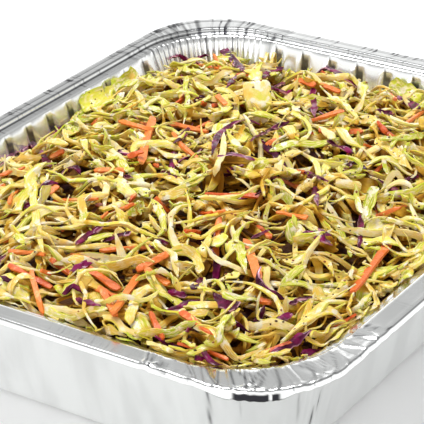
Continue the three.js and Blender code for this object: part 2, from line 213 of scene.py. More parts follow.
floor_mesh = bpy.data.meshes.new("floor")
floor_corners = [(FLOOR_HALF * x, FLOOR_HALF * y, 0) for x, y in ((-1, -1), (1, -1), (1, 1), (-1, 1))]
floor_mesh.from_pydata(floor_corners, [], [(0, 1, 2, 3)])
floor = bpy.data.objects.new("floor", floor_mesh)
bpy.context.collection.objects.link(floor)
floor_paint = finish("floor paint", Base_Color=(0.9, 0.9, 0.9, 1), Roughness=0.9,
                     Emission_Color=WHITE, Emission_Strength=FLOOR_GLOW)[0]
floor_mesh.materials.append(floor_paint)

# ------------------------------------------------------------------------------------------------
# The pan
# One sheet of aluminium foil pressed in a die. Its walls are stiffened by narrow upright flutes, the
# corners gather into fine pleats, and the flange's edge is rolled under into a bead.
# ------------------------------------------------------------------------------------------------
pan_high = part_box("tray")[1]
PAN_HALF_X = pan_high.x / MM
PAN_HALF_Y = pan_high.y / MM
FOIL = 0.4
FLANGE_TOP = 59.2
FLANGE_INSET = 10
STEP_DEPTH = 2
WALL_TOP = 56.2
WALL_TOP_INSET = 15.4
WALL_TOP_RADIUS = 42
WALL_FOOT = 7
WALL_FOOT_INSET = 28.4
WALL_FOOT_RADIUS = 31
BASE_INSET = 35.6
BASE_RADIUS = 25
PAN_RADIUS = 42
MID_FLANGE_INSET = 16
EDGE_WIDTH = 3.2
WALL_SHIFT_Y = 1.6
FLUTE_PITCH = 16
FLUTES = (13, 9, 13, 9)
FLUTE_HEAD = 53.4
FLUTE_SLANT = 0.8
FLUTE_RUNOUT = (9, 14)
SAMPLES_BY_FLUTE = (-8, -5.2, -3.2, -2.5, -1.9, -1.3, -0.5, 0.5, 1.3, 1.9, 2.5, 3.2, 5.2)
CORNER_STEP = 0.5
PANEL_BULGE = (3.0, 3.2, 1.0)
BULGE_LEVEL = 41
PLEAT = 0.45
NEAR_CORNER = 2
FOLD_KNOTS = 120
FOLDS_START = -50
RIDGES = 34
RIDGES_START = -44
RIDGE_WIDTH = 0.55
BEAD_HANG = 2.0
# Stands for a place along a side, or an arc from a corner, at points that have none.
FAR_OFF = 1e6
# Dark crease lines of painted shade beside the near corner: the arc from its middle at the two
# heights, both heights, and how dark the line is.
CREASES = ((-34, -34.5, 43, 35, 0.5), (-28.8, -31.5, 41, 20, 0.7), (-22.5, -21, 47, 34, 0.8),
           (-21, -22.5, 36, 22, 0.7), (-9, -12, 36, 28, 0.4), (27, 22, 36, 10, 1.0), (13, 15, 42, 24, 0.35))
CORNER_SAMPLES = 160
QUARTER = math.pi / 2
pan_random = np.random.default_rng(11)


def mix(low, high, share):
    return low + (high - low) * share


def smooth(edge0, edge1, value):
    share = np.clip((value - edge0) / (edge1 - edge0), 0, 1)
    return share * share * (3 - 2 * share)


# Samples round the pan. Each lies at (spread_x * a, spread_y * b) + radius * normal, where a and b
# are the half lengths of the straight sides, so every ring of the pan is made from the same rows.
mid_wall_inset = mix(WALL_FOOT_INSET, WALL_TOP_INSET, 0.5)
mid_wall_radius = mix(WALL_FOOT_RADIUS, WALL_TOP_RADIUS, 0.5)
straight = [half - mid_wall_inset - mid_wall_radius for half in (PAN_HALF_X, PAN_HALF_Y)]
HALF_ARC = QUARTER * mid_wall_radius / 2
rows = []
for corner in range(4):
    sign_x = 1 if corner in (0, 3) else -1
    sign_y = 1 if corner < 2 else -1
    for i in range(CORNER_SAMPLES):
        angle = (corner + i / CORNER_SAMPLES) * QUARTER
        arc = (i / CORNER_SAMPLES - 0.5) * QUARTER * mid_wall_radius
        rows.append((sign_x, sign_y, math.cos(angle), math.sin(angle), corner, arc, FAR_OFF))
    half = straight[corner % 2]
    middles = (np.arange(FLUTES[corner]) - (FLUTES[corner] - 1) / 2) * FLUTE_PITCH
    places = (middles[:, None] + np.array(SAMPLES_BY_FLUTE)[None, :]).ravel()
    places = np.concatenate([[-half], places[np.abs(places) < half - 1]])
    normal = ((0, 1), (-1, 0), (0, -1), (1, 0))[corner]
    for place in places:
        share = place / half
        spread = (-share * normal[1], normal[1]) if normal[0] == 0 else (normal[0], share * normal[0])
        nearest = corner if place < 0 else (corner + 1) % 4
        past = HALF_ARC + (half + place) if place < 0 else -HALF_ARC - (half - place)
        rows.append((*spread, *normal, nearest, past, place))
rows = np.array(rows)
spread_x, spread_y, normal_x, normal_y, nearest_corner, corner_arc, side_place = rows.T
is_side = side_place < FAR_OFF


def folds(shortest, longest, reach):
    """A wave of uneven folds round each corner, fading out along the straight sides."""
    wave = np.zeros(len(rows))
    for corner in range(4):
        knots = np.cumsum(pan_random.uniform(shortest, longest, FOLD_KNOTS)) + FOLDS_START
        heights = np.where(np.arange(FOLD_KNOTS) % 2, 1, -1) * pan_random.uniform(0.35, 1, FOLD_KNOTS)
        here = nearest_corner == corner
        wave[here] = np.interp(corner_arc[here], knots, heights)
    return wave * (1 - smooth(HALF_ARC + 1, HALF_ARC + reach, np.abs(corner_arc)))


# Each flute is a narrow groove with a slanting head, and the panels between them bulge inwards.
to_flute = (side_place + FLUTE_PITCH / 2) % FLUTE_PITCH - FLUTE_PITCH / 2
from_flute = np.abs(to_flute)
flute = np.where(is_side, 1 - smooth(1.7, 2.6, from_flute), 0)
panel = np.where(is_side, 0.75 * smooth(2.2, 3.2, from_flute) + 0.25 * smooth(2.5, 7, from_flute), 0.9)
flute_head = FLUTE_HEAD + FLUTE_SLANT * np.clip(to_flute, -2.5, 2.5)
to_corner = 1 - smooth(HALF_ARC - 14, HALF_ARC, np.abs(corner_arc))
side_bulge = np.where(np.abs(normal_y) > np.abs(normal_x), PANEL_BULGE[0], PANEL_BULGE[1])
bulge_depth = mix(side_bulge, PANEL_BULGE[2], to_corner)
# Folds of several widths: pleats in the wall, crimps in the flange and bead, and broad facets.
wall_folds = folds(0.9, 1.8, 9)
flange_folds = folds(0.9, 2.2, 14) * np.where(nearest_corner == NEAR_CORNER, 0.15, 1)
bead_folds = 0.3 * flange_folds + 0.6 * folds(0.8, 1.8, 20)
facets = folds(2.5, 7, 24) * np.where(nearest_corner == NEAR_CORNER, 1, 0.3)
outer_folds = folds(3.0, 9.0, 26)
outer_folds = outer_folds * np.abs(outer_folds) ** 1.5

# Along part of the near corner the bead's underside hangs lower, and bent ridges cross the flange.
near_arc = np.where(nearest_corner == NEAR_CORNER, corner_arc, FAR_OFF)
hang = BEAD_HANG * smooth(-18, -13, near_arc) * (1 - smooth(-1, 4, near_arc))
# The sides turned away from the camera, where dark bend lines of painted shade cross the rim.
facing = normal_x * back.x + normal_y * back.y
far_side = smooth(0.1, -0.3, facing)
ridge_arcs = np.cumsum(pan_random.uniform(0.9, 4.2, RIDGES)) + RIDGES_START
ridge_slants = pan_random.uniform(-0.9, 0.9, RIDGES)
ridges = list(zip(ridge_arcs, ridge_slants, pan_random.uniform(0.08, 0.36, RIDGES)))

# The section, from the base's middle up the inside: inset, radius and height of each ring.
fillet = [
    (mix(BASE_INSET, WALL_FOOT_INSET, math.sin(t)), mix(BASE_RADIUS, WALL_FOOT_RADIUS, math.sin(t)),
     mix(WALL_FOOT, FOIL, math.cos(t)))
    for t in np.linspace(0, QUARTER, 5)]
wall = [
    (mix(WALL_FOOT_INSET, WALL_TOP_INSET, t), mix(WALL_FOOT_RADIUS, WALL_TOP_RADIUS, t),
     mix(WALL_FOOT, WALL_TOP, t))
    for t in np.linspace(0, 1, 22)[1:]]
LEDGE = FLANGE_TOP - STEP_DEPTH
shoulder = [
    (14.9, 42.4, LEDGE - 0.45), (14.2, 43, LEDGE - 0.2), (12.6, 44.4, LEDGE - 0.1), (11.1, 45.9, LEDGE),
    (10.7, 46.3, LEDGE + 0.2), (10.4, 46.6, mix(LEDGE, FLANGE_TOP, 0.5)), (10.1, 46.9, FLANGE_TOP - 0.15),
    (9.7, 46.8, FLANGE_TOP), (8.4, 44.3, FLANGE_TOP), (7, 41.6, FLANGE_TOP), (5.8, 39.2, FLANGE_TOP),
    (5.2, 38, FLANGE_TOP),
]
inner_section = np.array([(100, 8, FOIL), (60, 14, FOIL)] + fillet + wall + shoulder)
# The edge is rolled under: flat on top, a tight turn, and an outer face that leans a little upwards.
rolled_edge = [
    (4.6, 0), (3.8, -0.03), (3.0, 0.04), (1.9, 0.04), (1.2, -0.02), (0.8, -0.2), (0.55, -0.5),
    (0.3, -1.2), (0.12, -1.8), (0.05, -2.1), (0.15, -2.5), (0.6, -2.65), (2.4, -2.6), (4.6, -1.8),
]
bead_section = np.array([(inset, PAN_RADIUS - inset, FLANGE_TOP + drop) for inset, drop in rolled_edge])
# The outside is the inside moved out by the foil's thickness, with fewer rings up the plain wall.
slope = np.gradient(inner_section[:, [0, 2]], axis=0)
slope /= np.linalg.norm(slope, axis=1)[:, None]
outer_section = inner_section.copy()
outer_section[:, 0] += FOIL * slope[:, 1] * -1
outer_section[:, 1] += FOIL * slope[:, 1]
outer_section[:, 2] += FOIL * slope[:, 0]
outer_section = outer_section[::-1][[*range(0, 12), *range(12, 33, 3), *range(33, 40)]]
outer_section[-2:, 2] = 0
section = np.concatenate([inner_section, bead_section, outer_section])
section_run = np.concatenate([[0], np.cumsum(np.hypot(*np.diff(section[:, [0, 2]], axis=0).T))])


def pan_ring(inset, radius, height, face):
    """The points of one ring, with the flutes, pleats and slight unevenness of pressed foil."""
    below_top = 1 - smooth(WALL_TOP - 0.6, WALL_TOP + 0.8, height)
    on_wall = smooth(WALL_FOOT, WALL_FOOT + 6, height) * below_top
    below_head = 1 - smooth(flute_head - 0.4, flute_head + 0.4, height)
    open_flute = flute * smooth(*FLUTE_RUNOUT, height) * below_head
    above_bulge = np.clip((height - BULGE_LEVEL) / (WALL_TOP - BULGE_LEVEL), 0, 1)
    bulge = panel * (smooth(12, BULGE_LEVEL, height) * (1 - above_bulge)) * bulge_depth
    wave = 0.1 * np.sin(perimeter / 17 + height / 9) - 0.1
    on_flange = smooth(LEDGE - 0.3, LEDGE + 0.2, height) if face != "bead" else 1
    folded = wall_folds * smooth(WALL_FOOT - 2, WALL_TOP - 16, height) * (1 - on_flange)
    lift = 0.045 * flange_folds + 0.28 * facets + 0.04 * np.sin(perimeter / 23)
    for arc, slant, rise in ridges:
        from_ridge = near_arc - arc - slant * (inset - FLANGE_INSET)
        lift = lift + rise * np.exp(-(from_ridge / RIDGE_WIDTH) ** 2)
    lift = lift * on_flange
    if face == "inner":
        push = on_wall * (wave - CORNER_STEP * to_corner - bulge * (1 - open_flute)) + PLEAT * folded
    elif face == "outer":
        crumpled = np.maximum(1.1 * outer_folds, -0.35)
        push = on_wall * (0.3 * np.sin(perimeter / 31 + height / 15) + crumpled) + 0.2 * folded
    else:
        push = 0.2 * bead_folds * smooth(4.6, 1.5, inset)
        lift = lift - hang * smooth(FLANGE_TOP - 1.7, FLANGE_TOP - 2.5, height) * smooth(4.6, 3.2, inset)
    # The flange's rings start from the outline of the wall's top and then settle on their own, so that
    # no two rows cross.
    held = max(inset, WALL_TOP_INSET) if height > WALL_FOOT + 30 else inset
    held_radius = WALL_TOP_RADIUS if held > inset else radius
    x = spread_x * (PAN_HALF_X - held - held_radius) + normal_x * held_radius
    y = spread_y * (PAN_HALF_Y - held - held_radius) + normal_y * held_radius
    for settling in range(6 if held > inset else 0):
        out_x = np.maximum(np.abs(x) - (PAN_HALF_X - inset - radius), 0)
        out_y = np.maximum(np.abs(y) - (PAN_HALF_Y - inset - radius), 0)
        short = radius - np.hypot(out_x, out_y)
        x, y = x + normal_x * short, y + normal_y * short
    off_flange = smooth(EDGE_WIDTH, FLANGE_INSET, inset)
    shift = WALL_SHIFT_Y * np.clip(height / WALL_TOP, 0, 1) * off_flange
    x, y = x + normal_x * push, y + normal_y * push + shift
    return np.stack([x, y, np.full(len(rows), height) + (0 if height < 1 else lift)], axis=1)


plain = np.stack([
    spread_x * (PAN_HALF_X - MID_FLANGE_INSET - PAN_RADIUS) + normal_x * PAN_RADIUS,
    spread_y * (PAN_HALF_Y - MID_FLANGE_INSET - PAN_RADIUS) + normal_y * PAN_RADIUS], axis=1)
steps = np.linalg.norm(np.roll(plain, -1, axis=0) - plain, axis=1)
perimeter = np.concatenate([[0], np.cumsum(steps)[:-1]])
faces_of_rings = (["inner"] * len(inner_section) + ["bead"] * len(bead_section)
                  + ["outer"] * len(outer_section))
rings = [pan_ring(*station, face) for station, face in zip(section, faces_of_rings)]


def make_mesh(name, points, faces, uv=None):
    """A smooth-shaded mesh piece from points in millimetres."""
    mesh = bpy.data.meshes.new(name)
    mesh.from_pydata((np.asarray(points) * MM).tolist(), [], faces)
    mesh.shade_smooth()
    if uv is not None:
        layer = mesh.uv_layers.new(name="flow")
        layer.data.foreach_set("uv", np.asarray(uv, np.float32).ravel())
    mesh.validate()
    piece = bpy.data.objects.new(name, mesh)
    bpy.context.collection.objects.link(piece)
    return piece


def close_rings(rings, run, reach):
    """Joins a stack of rings and caps both ends at a pole. Returns points, faces and flow UVs."""
    count = len(rings[0])
    points = np.concatenate([*rings, rings[0].mean(axis=0)[None], rings[-1].mean(axis=0)[None]])
    i = np.arange(count)
    j = (i + 1) % count
    faces, uvs = [], []
    run_next = np.append(run[1:], run[-1] + 1)
    for k in range(len(rings) - 1):
        low, high = k * count, (k + 1) * count
        faces.append(np.stack([low + i, high + i, high + j, low + j], axis=1))
        uvs.append(np.stack([
            np.stack([run, np.full(count, reach[k])], axis=1),
            np.stack([run, np.full(count, reach[k + 1])], axis=1),
            np.stack([run_next, np.full(count, reach[k + 1])], axis=1),
            np.stack([run_next, np.full(count, reach[k])], axis=1)], axis=1))
    quads = np.concatenate(faces)
    top, bottom = len(points) - 2, len(points) - 1
    last = (len(rings) - 1) * count
    caps = [(top, a, b) for a, b in zip(i, j)] + [(bottom, last + b, last + a) for a, b in zip(i, j)]
    cap_uv = np.zeros((len(caps) * 3, 2))
    uv = np.concatenate([np.concatenate(uvs).reshape(-1, 2) * MM, cap_uv])
    return points, quads.tolist() + [tuple(int(v) for v in cap) for cap in caps], uv


points, faces, uv = close_rings(rings, perimeter, section_run)
pan = make_mesh("pan", points, faces, uv)

# Painted shade on the foil at each point: dark lines and patches that stand in for the shade of
# folds, creases, flutes and gaps too fine to model.
shade = np.zeros((len(rings), len(rows)))
corner_lines = folds(0.9, 2.2, 9)
seam_shade_breaks = folds(1.0, 3.6, 26)
rim_lines = folds(0.7, 3.2, 30) * far_side
for ring, ((inset, radius, height), face) in enumerate(zip(section, faces_of_rings)):
    # Painted shade: dark crease lines down the outside beside the near corner.
    if face == "outer":
        for arc_high, arc_low, high, low, depth in CREASES:
            share = (high - height) / (high - low)
            arc = mix(arc_high, arc_low, share) + 0.5 * math.sin(height / 2.3 + arc_high)
            line = np.exp(-((near_arc - arc) / mix(0.35, 0.8, np.clip(share, 0, 1))) ** 2)
            shade[ring] += depth * line * smooth(0, 0.25, share) * (1 - smooth(0.75, 1, share))
    # Painted shade down the flutes, fading at their heads and feet.
    if face == "inner" and height < FLUTE_HEAD + 2:
        below_head = 1 - smooth(flute_head - 0.6, flute_head + 0.2, height)
        shade[ring] = 0.82 * flute * smooth(*FLUTE_RUNOUT, height) * below_head
    # Painted shade: a dark gap under the bead where it hangs lower, broken by a few lighter crimps.
    if face == "bead" and height < FLANGE_TOP - 1.7 and inset < EDGE_WIDTH:
        seam_shade = smooth(-11.5, -10.5, near_arc) * (1 - smooth(-1, 0, near_arc))
        shade[ring] = seam_shade * smooth(-0.72, -0.5, seam_shade_breaks)
    # Painted shade: dark pleat lines at the head of the inner wall, in the corners.
    if face == "inner" and height > LEDGE - 16:
        up_wall = smooth(LEDGE - 16, LEDGE - 8, height) * (1 - smooth(LEDGE - 0.4, LEDGE, height))
        shade[ring] += 0.75 * up_wall * smooth(0.1, 0.7, corner_lines)
    # Painted shade: dark bend lines across the rim on the sides turned away from the camera, and on one
    # side of each ridge by the near corner.
    if height > LEDGE - 0.5 and face != "outer":
        shade[ring] += 0.5 * smooth(0.25, 0.8, rim_lines)
    if height > FLANGE_TOP - 0.1 and face != "outer":
        for arc, slant, rise in ridges:
            from_ridge = near_arc - arc - 0.6 - slant * (inset - FLANGE_INSET)
            shade[ring] += 2.2 * rise * np.exp(-(from_ridge / 0.35) ** 2)
# Painted shade: dark crimp ticks along the bead's tight turn by the near corner.
bead_start = len(inner_section)
near_ticks = 0.45 * smooth(0.55, 0.9, folds(0.6, 1.9, 16)) * (nearest_corner == NEAR_CORNER)
shade[bead_start + 5:bead_start + 8] += near_ticks
# The painted shade is kept on the pan's points, for the foil's material to darken it with.
painted_shade_attribute = pan.data.attributes.new("crease", "FLOAT", "POINT")
painted_shade_attribute.data.foreach_set("value", np.append(np.clip(shade, 0, 1).ravel(), (0, 0)).astype(np.float32))

# Where the rim, its step, its roll and the roll's tight turn lie along the section. Thin dark lines of
# painted shade run round the pan there, and uneven crimp ticks cross them, bumped and darkened with
# painted shade.
rim_ring = bead_start - len(shoulder)
RIM_START, RIM_END = section_run[rim_ring] * MM, section_run[bead_start - 1] * MM
STEP_FOOT, STEP_HEAD = section_run[rim_ring + 3] * MM, section_run[rim_ring + 7] * MM
ROLL_START, TIGHT_TURN = section_run[bead_start] * MM, section_run[bead_start + 5] * MM
foil, shader, place = finish("pressed foil", Metallic=1.0)
flow = place.node("ShaderNodeUVMap", {"uv_map": "flow"})
smears = place.noise(38, 4, (1, 1, 0.45))
streaks = place.noise(60, 3, (1, 1, 0.1))
tone = place.noise(9, 3).between(0.35, 0.7).blend((0.885, 0.9, 0.89, 1), (0.945, 0.955, 0.948, 1))
reach = flow.axis("Y")
on_rim = reach.between(RIM_START, RIM_START + 0.001) * (1 - reach.between(RIM_END + 0.003, RIM_END + 0.004))
on_edge = reach.between(RIM_END - 0.001, RIM_END) * on_rim
outside = reach.between(RIM_END + 0.012, RIM_END + 0.016)
along, across = place.axis("X"), place.axis("Y")
far = (0.8 * along + across).between(0.0, 0.06)
ticks = flow.noise(1, 2, (800, 60, 1)).between(0.53, 0.64)
groups = flow.noise(1, 2, (70, 30, 1)).between(0.45, 0.55)
# Crimp ticks: bumped, and darkened as painted shade, most on the far half.
crimps_and_shade = groups * ticks * (on_rim * (0.1 + 0.4 * far) + on_edge * (0.05 + 0.75 * far))
# The painted shade kept on the pan's points.
crease = place.attribute("crease")


def ruled(at, width):
    """1 on a thin line that runs round the pan at a place along its section, else 0."""
    return reach.between(at - width, at) * (1 - reach.between(at, at + width))


far_left = across.between(0.095, 0.11)
far_corner = (along + across).between(0.225, 0.255)
# Painted shade: thin dark lines at the step, the roll and the tight turn, strongest on the far half.
bend_shade = 0.7 * ruled(STEP_FOOT, 0.0009) + 0.5 * ruled(STEP_HEAD, 0.0009) + 0.5 * ruled(ROLL_START, 0.0009)
bend_shade = far * (0.65 + 0.35 * far_left) * (bend_shade + 0.5 * ruled(TIGHT_TURN - 0.0005, 0.0007))
# Painted shade: the far rim is darker all over, less so on the far left and more at the far corner.
rim_shade = (0.28 * far - 0.05 * far_left + 0.08 * far_corner) * on_rim
bend_shade = bend_shade + 0.5 * ruled(TIGHT_TURN, 0.0008) + rim_shade
brushed = outside * streaks.between(0.4, 0.65) * 0.12
# Painted shade, bend lines and crimp ticks darken the foil's own tone; the brushed streaks are its own.
feed(shader, "Base Color", (crease + bend_shade + 0.8 * crimps_and_shade + brushed).blend(tone, (0.03, 0.03, 0.035, 1)))
inside = reach.between(RIM_START, RIM_START - 0.004)
feed(shader, "Roughness", 0.14 + 0.12 * smears + 0.03 * inside)
feed(shader, "Metallic", 1 - 0.25 * inside - 0.25 * outside)
roughen(shader, 0.4, 0.001, 0.25 * smears + 0.6 * outside * streaks + 0.05 * crimps_and_shade)
pan.data.materials.append(foil)
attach(pan, "root")
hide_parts("tray")

# ------------------------------------------------------------------------------------------------
# The heap's core
# The packed shreds deep in the pan, coloured near black-brown as painted shade so that they show only
# as dark gaps between the loose ones. It is one closed lump that fills the pan's inside up to about a
# centimetre below the surface.
# ------------------------------------------------------------------------------------------------
HEAP_TOP = 64.5
HEAP_EDGE = 48.5
HEAP_TILT = 4.5
HEAP_HALF_X = 149
HEAP_HALF_Y = 119
HEAP_ROUNDNESS = 3.2
MOUND_HEIGHT, MOUND_X, MOUND_Y, MOUND_REACH_X, MOUND_REACH_Y = 5.5, 100, 110, 45, 24
CORE_DEPTH = 8
NEAR_SLUMP = -5.5
FAR_SLUMP = 6
ROOM_GAP = 1
PANEL_ROOM = 2.4
LEDGE_REACH = 4.4
CORE_GAP = 3.2
CORE_RINGS = 46
CORE_WALL_LEVELS = (34, 20, 8, 2)
EVERY_ROW = 4


def heap_level(x, y):
    """The height of the heap's packed top. Its edge is lower along +X and +Y, but for one mound."""
    across_x = np.minimum(1, np.abs(x) / HEAP_HALF_X)
    across_y = np.minimum(1, np.abs(y) / HEAP_HALF_Y)
    rim = np.minimum(1, (across_x ** 4 + across_y ** 4) ** 0.25)
    edge = HEAP_EDGE - HEAP_TILT * np.tanh(x / 90 + y / 72)
    lumps = 1.3 * np.sin(x / 15 + 0.6) * np.cos(y / 17 - 0.4) + 0.9 * np.sin(x / 7.3 - y / 9.1)
    from_mound = np.hypot((x - MOUND_X) / MOUND_REACH_X, (y - MOUND_Y) / MOUND_REACH_Y)
    mound = MOUND_HEIGHT * np.exp(-0.5 * from_mound ** 2)
    return edge + (HEAP_TOP - edge) * (1 - rim ** HEAP_ROUNDNESS) + lumps * (1 - 0.6 * rim ** 4) + mound


def slump(x, y):
    """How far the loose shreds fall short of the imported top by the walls: most at +X and +Y."""
    by_rim = np.maximum(np.abs(x) / HEAP_HALF_X, np.abs(y) / HEAP_HALF_Y)
    far_share = smooth(-0.9, 0.5, x / HEAP_HALF_X + y / HEAP_HALF_Y)
    return smooth(0.72, 0.98, by_rim) * mix(NEAR_SLUMP, FAR_SLUMP, far_share)


def core_level(x, y):
    """The height of the core's top, some way under the loose shreds."""
    return heap_level(x, y) - CORE_DEPTH - 0.8 * slump(x, y)


def room(height, gap=ROOM_GAP):
    """Half lengths, corner radius and shift of the pan's inside at a height."""
    share = np.clip((height - WALL_FOOT) / (WALL_TOP - WALL_FOOT), 0, 1)
    inset = mix(WALL_FOOT_INSET, WALL_TOP_INSET, share) + gap
    inset = inset + np.where(height < WALL_FOOT, (WALL_FOOT - height) * 1.1, 0)
    radius = mix(WALL_FOOT_RADIUS, WALL_TOP_RADIUS, share) - gap
    return PAN_HALF_X - inset, PAN_HALF_Y - inset, radius, WALL_SHIFT_Y * np.clip(height / WALL_TOP, 0, 1)


def near_ledge(x, y):
    """1 by the two sides where the heap is full enough to lie on the pan's ledge, else 0."""
    return smooth(-0.3, -0.9, x / HEAP_HALF_X + y / HEAP_HALF_Y)


def beyond_room(x, y, height, gap=ROOM_GAP):
    """How far a point lies outside the pan's inside, negative within it."""
    gap = gap + PANEL_ROOM * np.clip((WALL_TOP - height) / (WALL_TOP - BULGE_LEVEL), 0, 1)
    half_x, half_y, radius, shift = room(height, gap)
    out_x = np.maximum(np.abs(x) - (half_x - radius), 0)
    out_y = np.maximum(np.abs(y - shift) - (half_y - radius), 0)
    return np.hypot(out_x, out_y) - radius - LEDGE_REACH * near_ledge(x, y)


def room_ring(height):
    """A ring round the core at a height, or at each row's own height."""
    half_x, half_y, radius, shift = room(height, CORE_GAP)
    x = spread_x[::EVERY_ROW] * (half_x - radius) + normal_x[::EVERY_ROW] * radius
    y = spread_y[::EVERY_ROW] * (half_y - radius) + normal_y[::EVERY_ROW] * radius + shift
    return x, y


# The core's edge is where its sloping top meets the wall, found in a few steps.
rim_height = np.full(len(rows[::EVERY_ROW]), HEAP_EDGE)
for settle_pass in range(5):
    rim_x, rim_y = room_ring(rim_height)
    rim_height = core_level(rim_x, rim_y)
core_rings = []
for scale in np.linspace(0.02, 1, CORE_RINGS):
    x, y = rim_x * scale, rim_y * scale
    clumps = (0.9 * np.sin(x / 2.9 + 1.3 * np.sin(y / 4.1)) * np.sin(y / 3.3 + np.sin(x / 5.2))
              + 0.7 * np.sin(x / 1.7 - y / 2.2))
    core_rings.append(np.stack([x, y, core_level(x, y) + clumps * min(1, 6 * (1 - scale))], axis=1))
for height in CORE_WALL_LEVELS:
    x, y = room_ring(height)
    core_rings.append(np.stack([x, y, np.full(len(x), height)], axis=1))
points, faces, uv = close_rings(core_rings, np.arange(len(rim_x)), np.arange(len(core_rings)))
core = make_mesh("heap_core", points, faces)
# Near black-brown colours: painted shade for the gaps between the loose shreds.
packed, shader, place = finish("packed shreds", Roughness=0.5, Specular_IOR_Level=0.1)
clump = place.noise(260, 4)
hue = place.noise(90, 3)
dark = hue.between(0.4, 0.6).blend((0.08, 0.03, 0.006, 1), (0.04, 0.008, 0.01, 1))
feed(shader, "Base Color", clump.between(0.45, 0.75).blend(dark, (0.22, 0.1, 0.015, 1)))
roughen(shader, 0.8, 0.002, clump)
core.data.materials.append(packed)
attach(core, "root")
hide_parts("coleslaw")

# ------------------------------------------------------------------------------------------------
# How the shreds come to lie
# Each piece is drawn as a curling line in plan, then settles on what already lies beneath it, as a
# handful of salad does. A grid of heights remembers the heap, and the lowest places fill up first.
# ------------------------------------------------------------------------------------------------
GRID_X, GRID_Y = 152, 122
TOP_COVER = 0.8
LEDGE_COVER = 1.6
HIGHEST = 70.5
LIMIT = 73.2
STATIONS = 13
# Waves over the heap, with hollows deeper than the humps are high. TURN is a full turn, rounded.
HOLLOWS = 14
HOLLOW_DEPTH = 1.45
HUMP_HEIGHT = 0.85
TURN = 6.28
# A place's distance from the wall is taken at one level, and is negative inside the pan.
WALL_PROBE = 50.0
WALL_ZONE = -14
CLOSE_TO_WALL = -5
SHORT_PIECE = 22
CALM_BY_WALL = 0.35
# A shred may lift one end, arch its middle or lie tilted: the range, and how often.
LIFT, LIFT_SHARE = (1.5, 8), 0.45
ARCH, ARCH_SHARE = (1, 4.5), 0.3
TILT_SPREAD, TILT_MOST = 1.8, 4.5
CURL_MOST = 1.9
EDGE_TURN = (0.9, 1.45)
heap_random = np.random.default_rng(5)
# For each kind, its share of the pieces, ranges of length, width and thickness, how much it curls and
# kinks, how many stations it bridges (None is a stiff stick), and how often it stands on its edge.
KINDS = {
    "pale_shreds": (0.34, (15, 46), (1.7, 4.1), (0.8, 1.6), 0.8, 0.5, 1, 0.3),
    "green_shreds": (0.18, (15, 44), (1.7, 4.2), (0.8, 1.4), 0.8, 0.5, 1, 0.3),
    "threads": (0.11, (14, 42), (0.7, 1.5), (0.7, 1.1), 1.3, 0.6, 1, 0),
    "leaves": (0.15, (10, 26), (3.8, 7.5), (0.6, 1.0), 0.6, 0.6, 2, 0.25),
    "ribs": (0.08, (5, 18), (2.4, 5), (1.4, 2.8), 0.25, 0.2, None, 0.1),
    "red_shreds": (0.035, (8, 30), (1.3, 3.2), (0.7, 1.2), 0.9, 0.8, 1, 0.3),
    "carrots": (0.055, (8, 28), (1.4, 2.8), (1.1, 1.8), 0.12, 0.1, None, 0),
}
grid_x, grid_y = np.meshgrid(np.arange(-GRID_X, GRID_X + 1), np.arange(-GRID_Y, GRID_Y + 1), indexing="ij")
ground = core_level(grid_x, grid_y)
on_ledge = (beyond_room(grid_x, grid_y, WALL_TOP, 0) > -LEDGE_REACH) & (near_ledge(grid_x, grid_y) > 0.1)
ground = np.where(on_ledge, LEDGE + 0.2, ground)
hollows = np.zeros(ground.shape)
for wave in range(HOLLOWS):
    bearing = heap_random.uniform(0, TURN)
    length = heap_random.uniform(11, 34)
    phase = heap_random.uniform(0, TURN)
    hollows += np.sin((grid_x * math.cos(bearing) + grid_y * math.sin(bearing)) * TURN / length + phase)
hollows = HOLLOW_DEPTH * np.minimum(hollows, 0) + HUMP_HEIGHT * np.maximum(hollows, 0)
calm_rim = 1 - 0.6 * smooth(-16, -4, beyond_room(grid_x, grid_y, WALL_PROBE))
wanted = heap_level(grid_x, grid_y) + TOP_COVER - slump(grid_x, grid_y) + hollows * calm_rim
wanted = np.maximum(wanted, np.where(on_ledge, LEDGE + LEDGE_COVER, 0))
open_cells = beyond_room(grid_x, grid_y, wanted) < 0


def cells(x, y):
    """Where points lie in the grid, whose cells are 1 mm wide."""
    return (np.clip(np.rint(x + GRID_X), 0, 2 * GRID_X).astype(int),
            np.clip(np.rint(y + GRID_Y), 0, 2 * GRID_Y).astype(int))


def bridge(heights, reach):
    """What a limp strip does over bumps: it rides on the highest within reach, and rounds them."""
    if reach is None:
        share = np.linspace(-1, 1, len(heights))
        line = np.polyval(np.polyfit(share, heights, 1), share)
        return line + 0.6 * max(0, (heights - line).max())
    held = np.pad(heights, reach, mode="edge")
    highest = np.max([held[k:k + len(heights)] for k in range(2 * reach + 1)], axis=0)
    padded = np.pad(highest, 2, mode="edge")
    return sum(weight * padded[k:k + len(heights)] for k, weight in enumerate((0.1, 0.24, 0.32, 0.24, 0.1)))


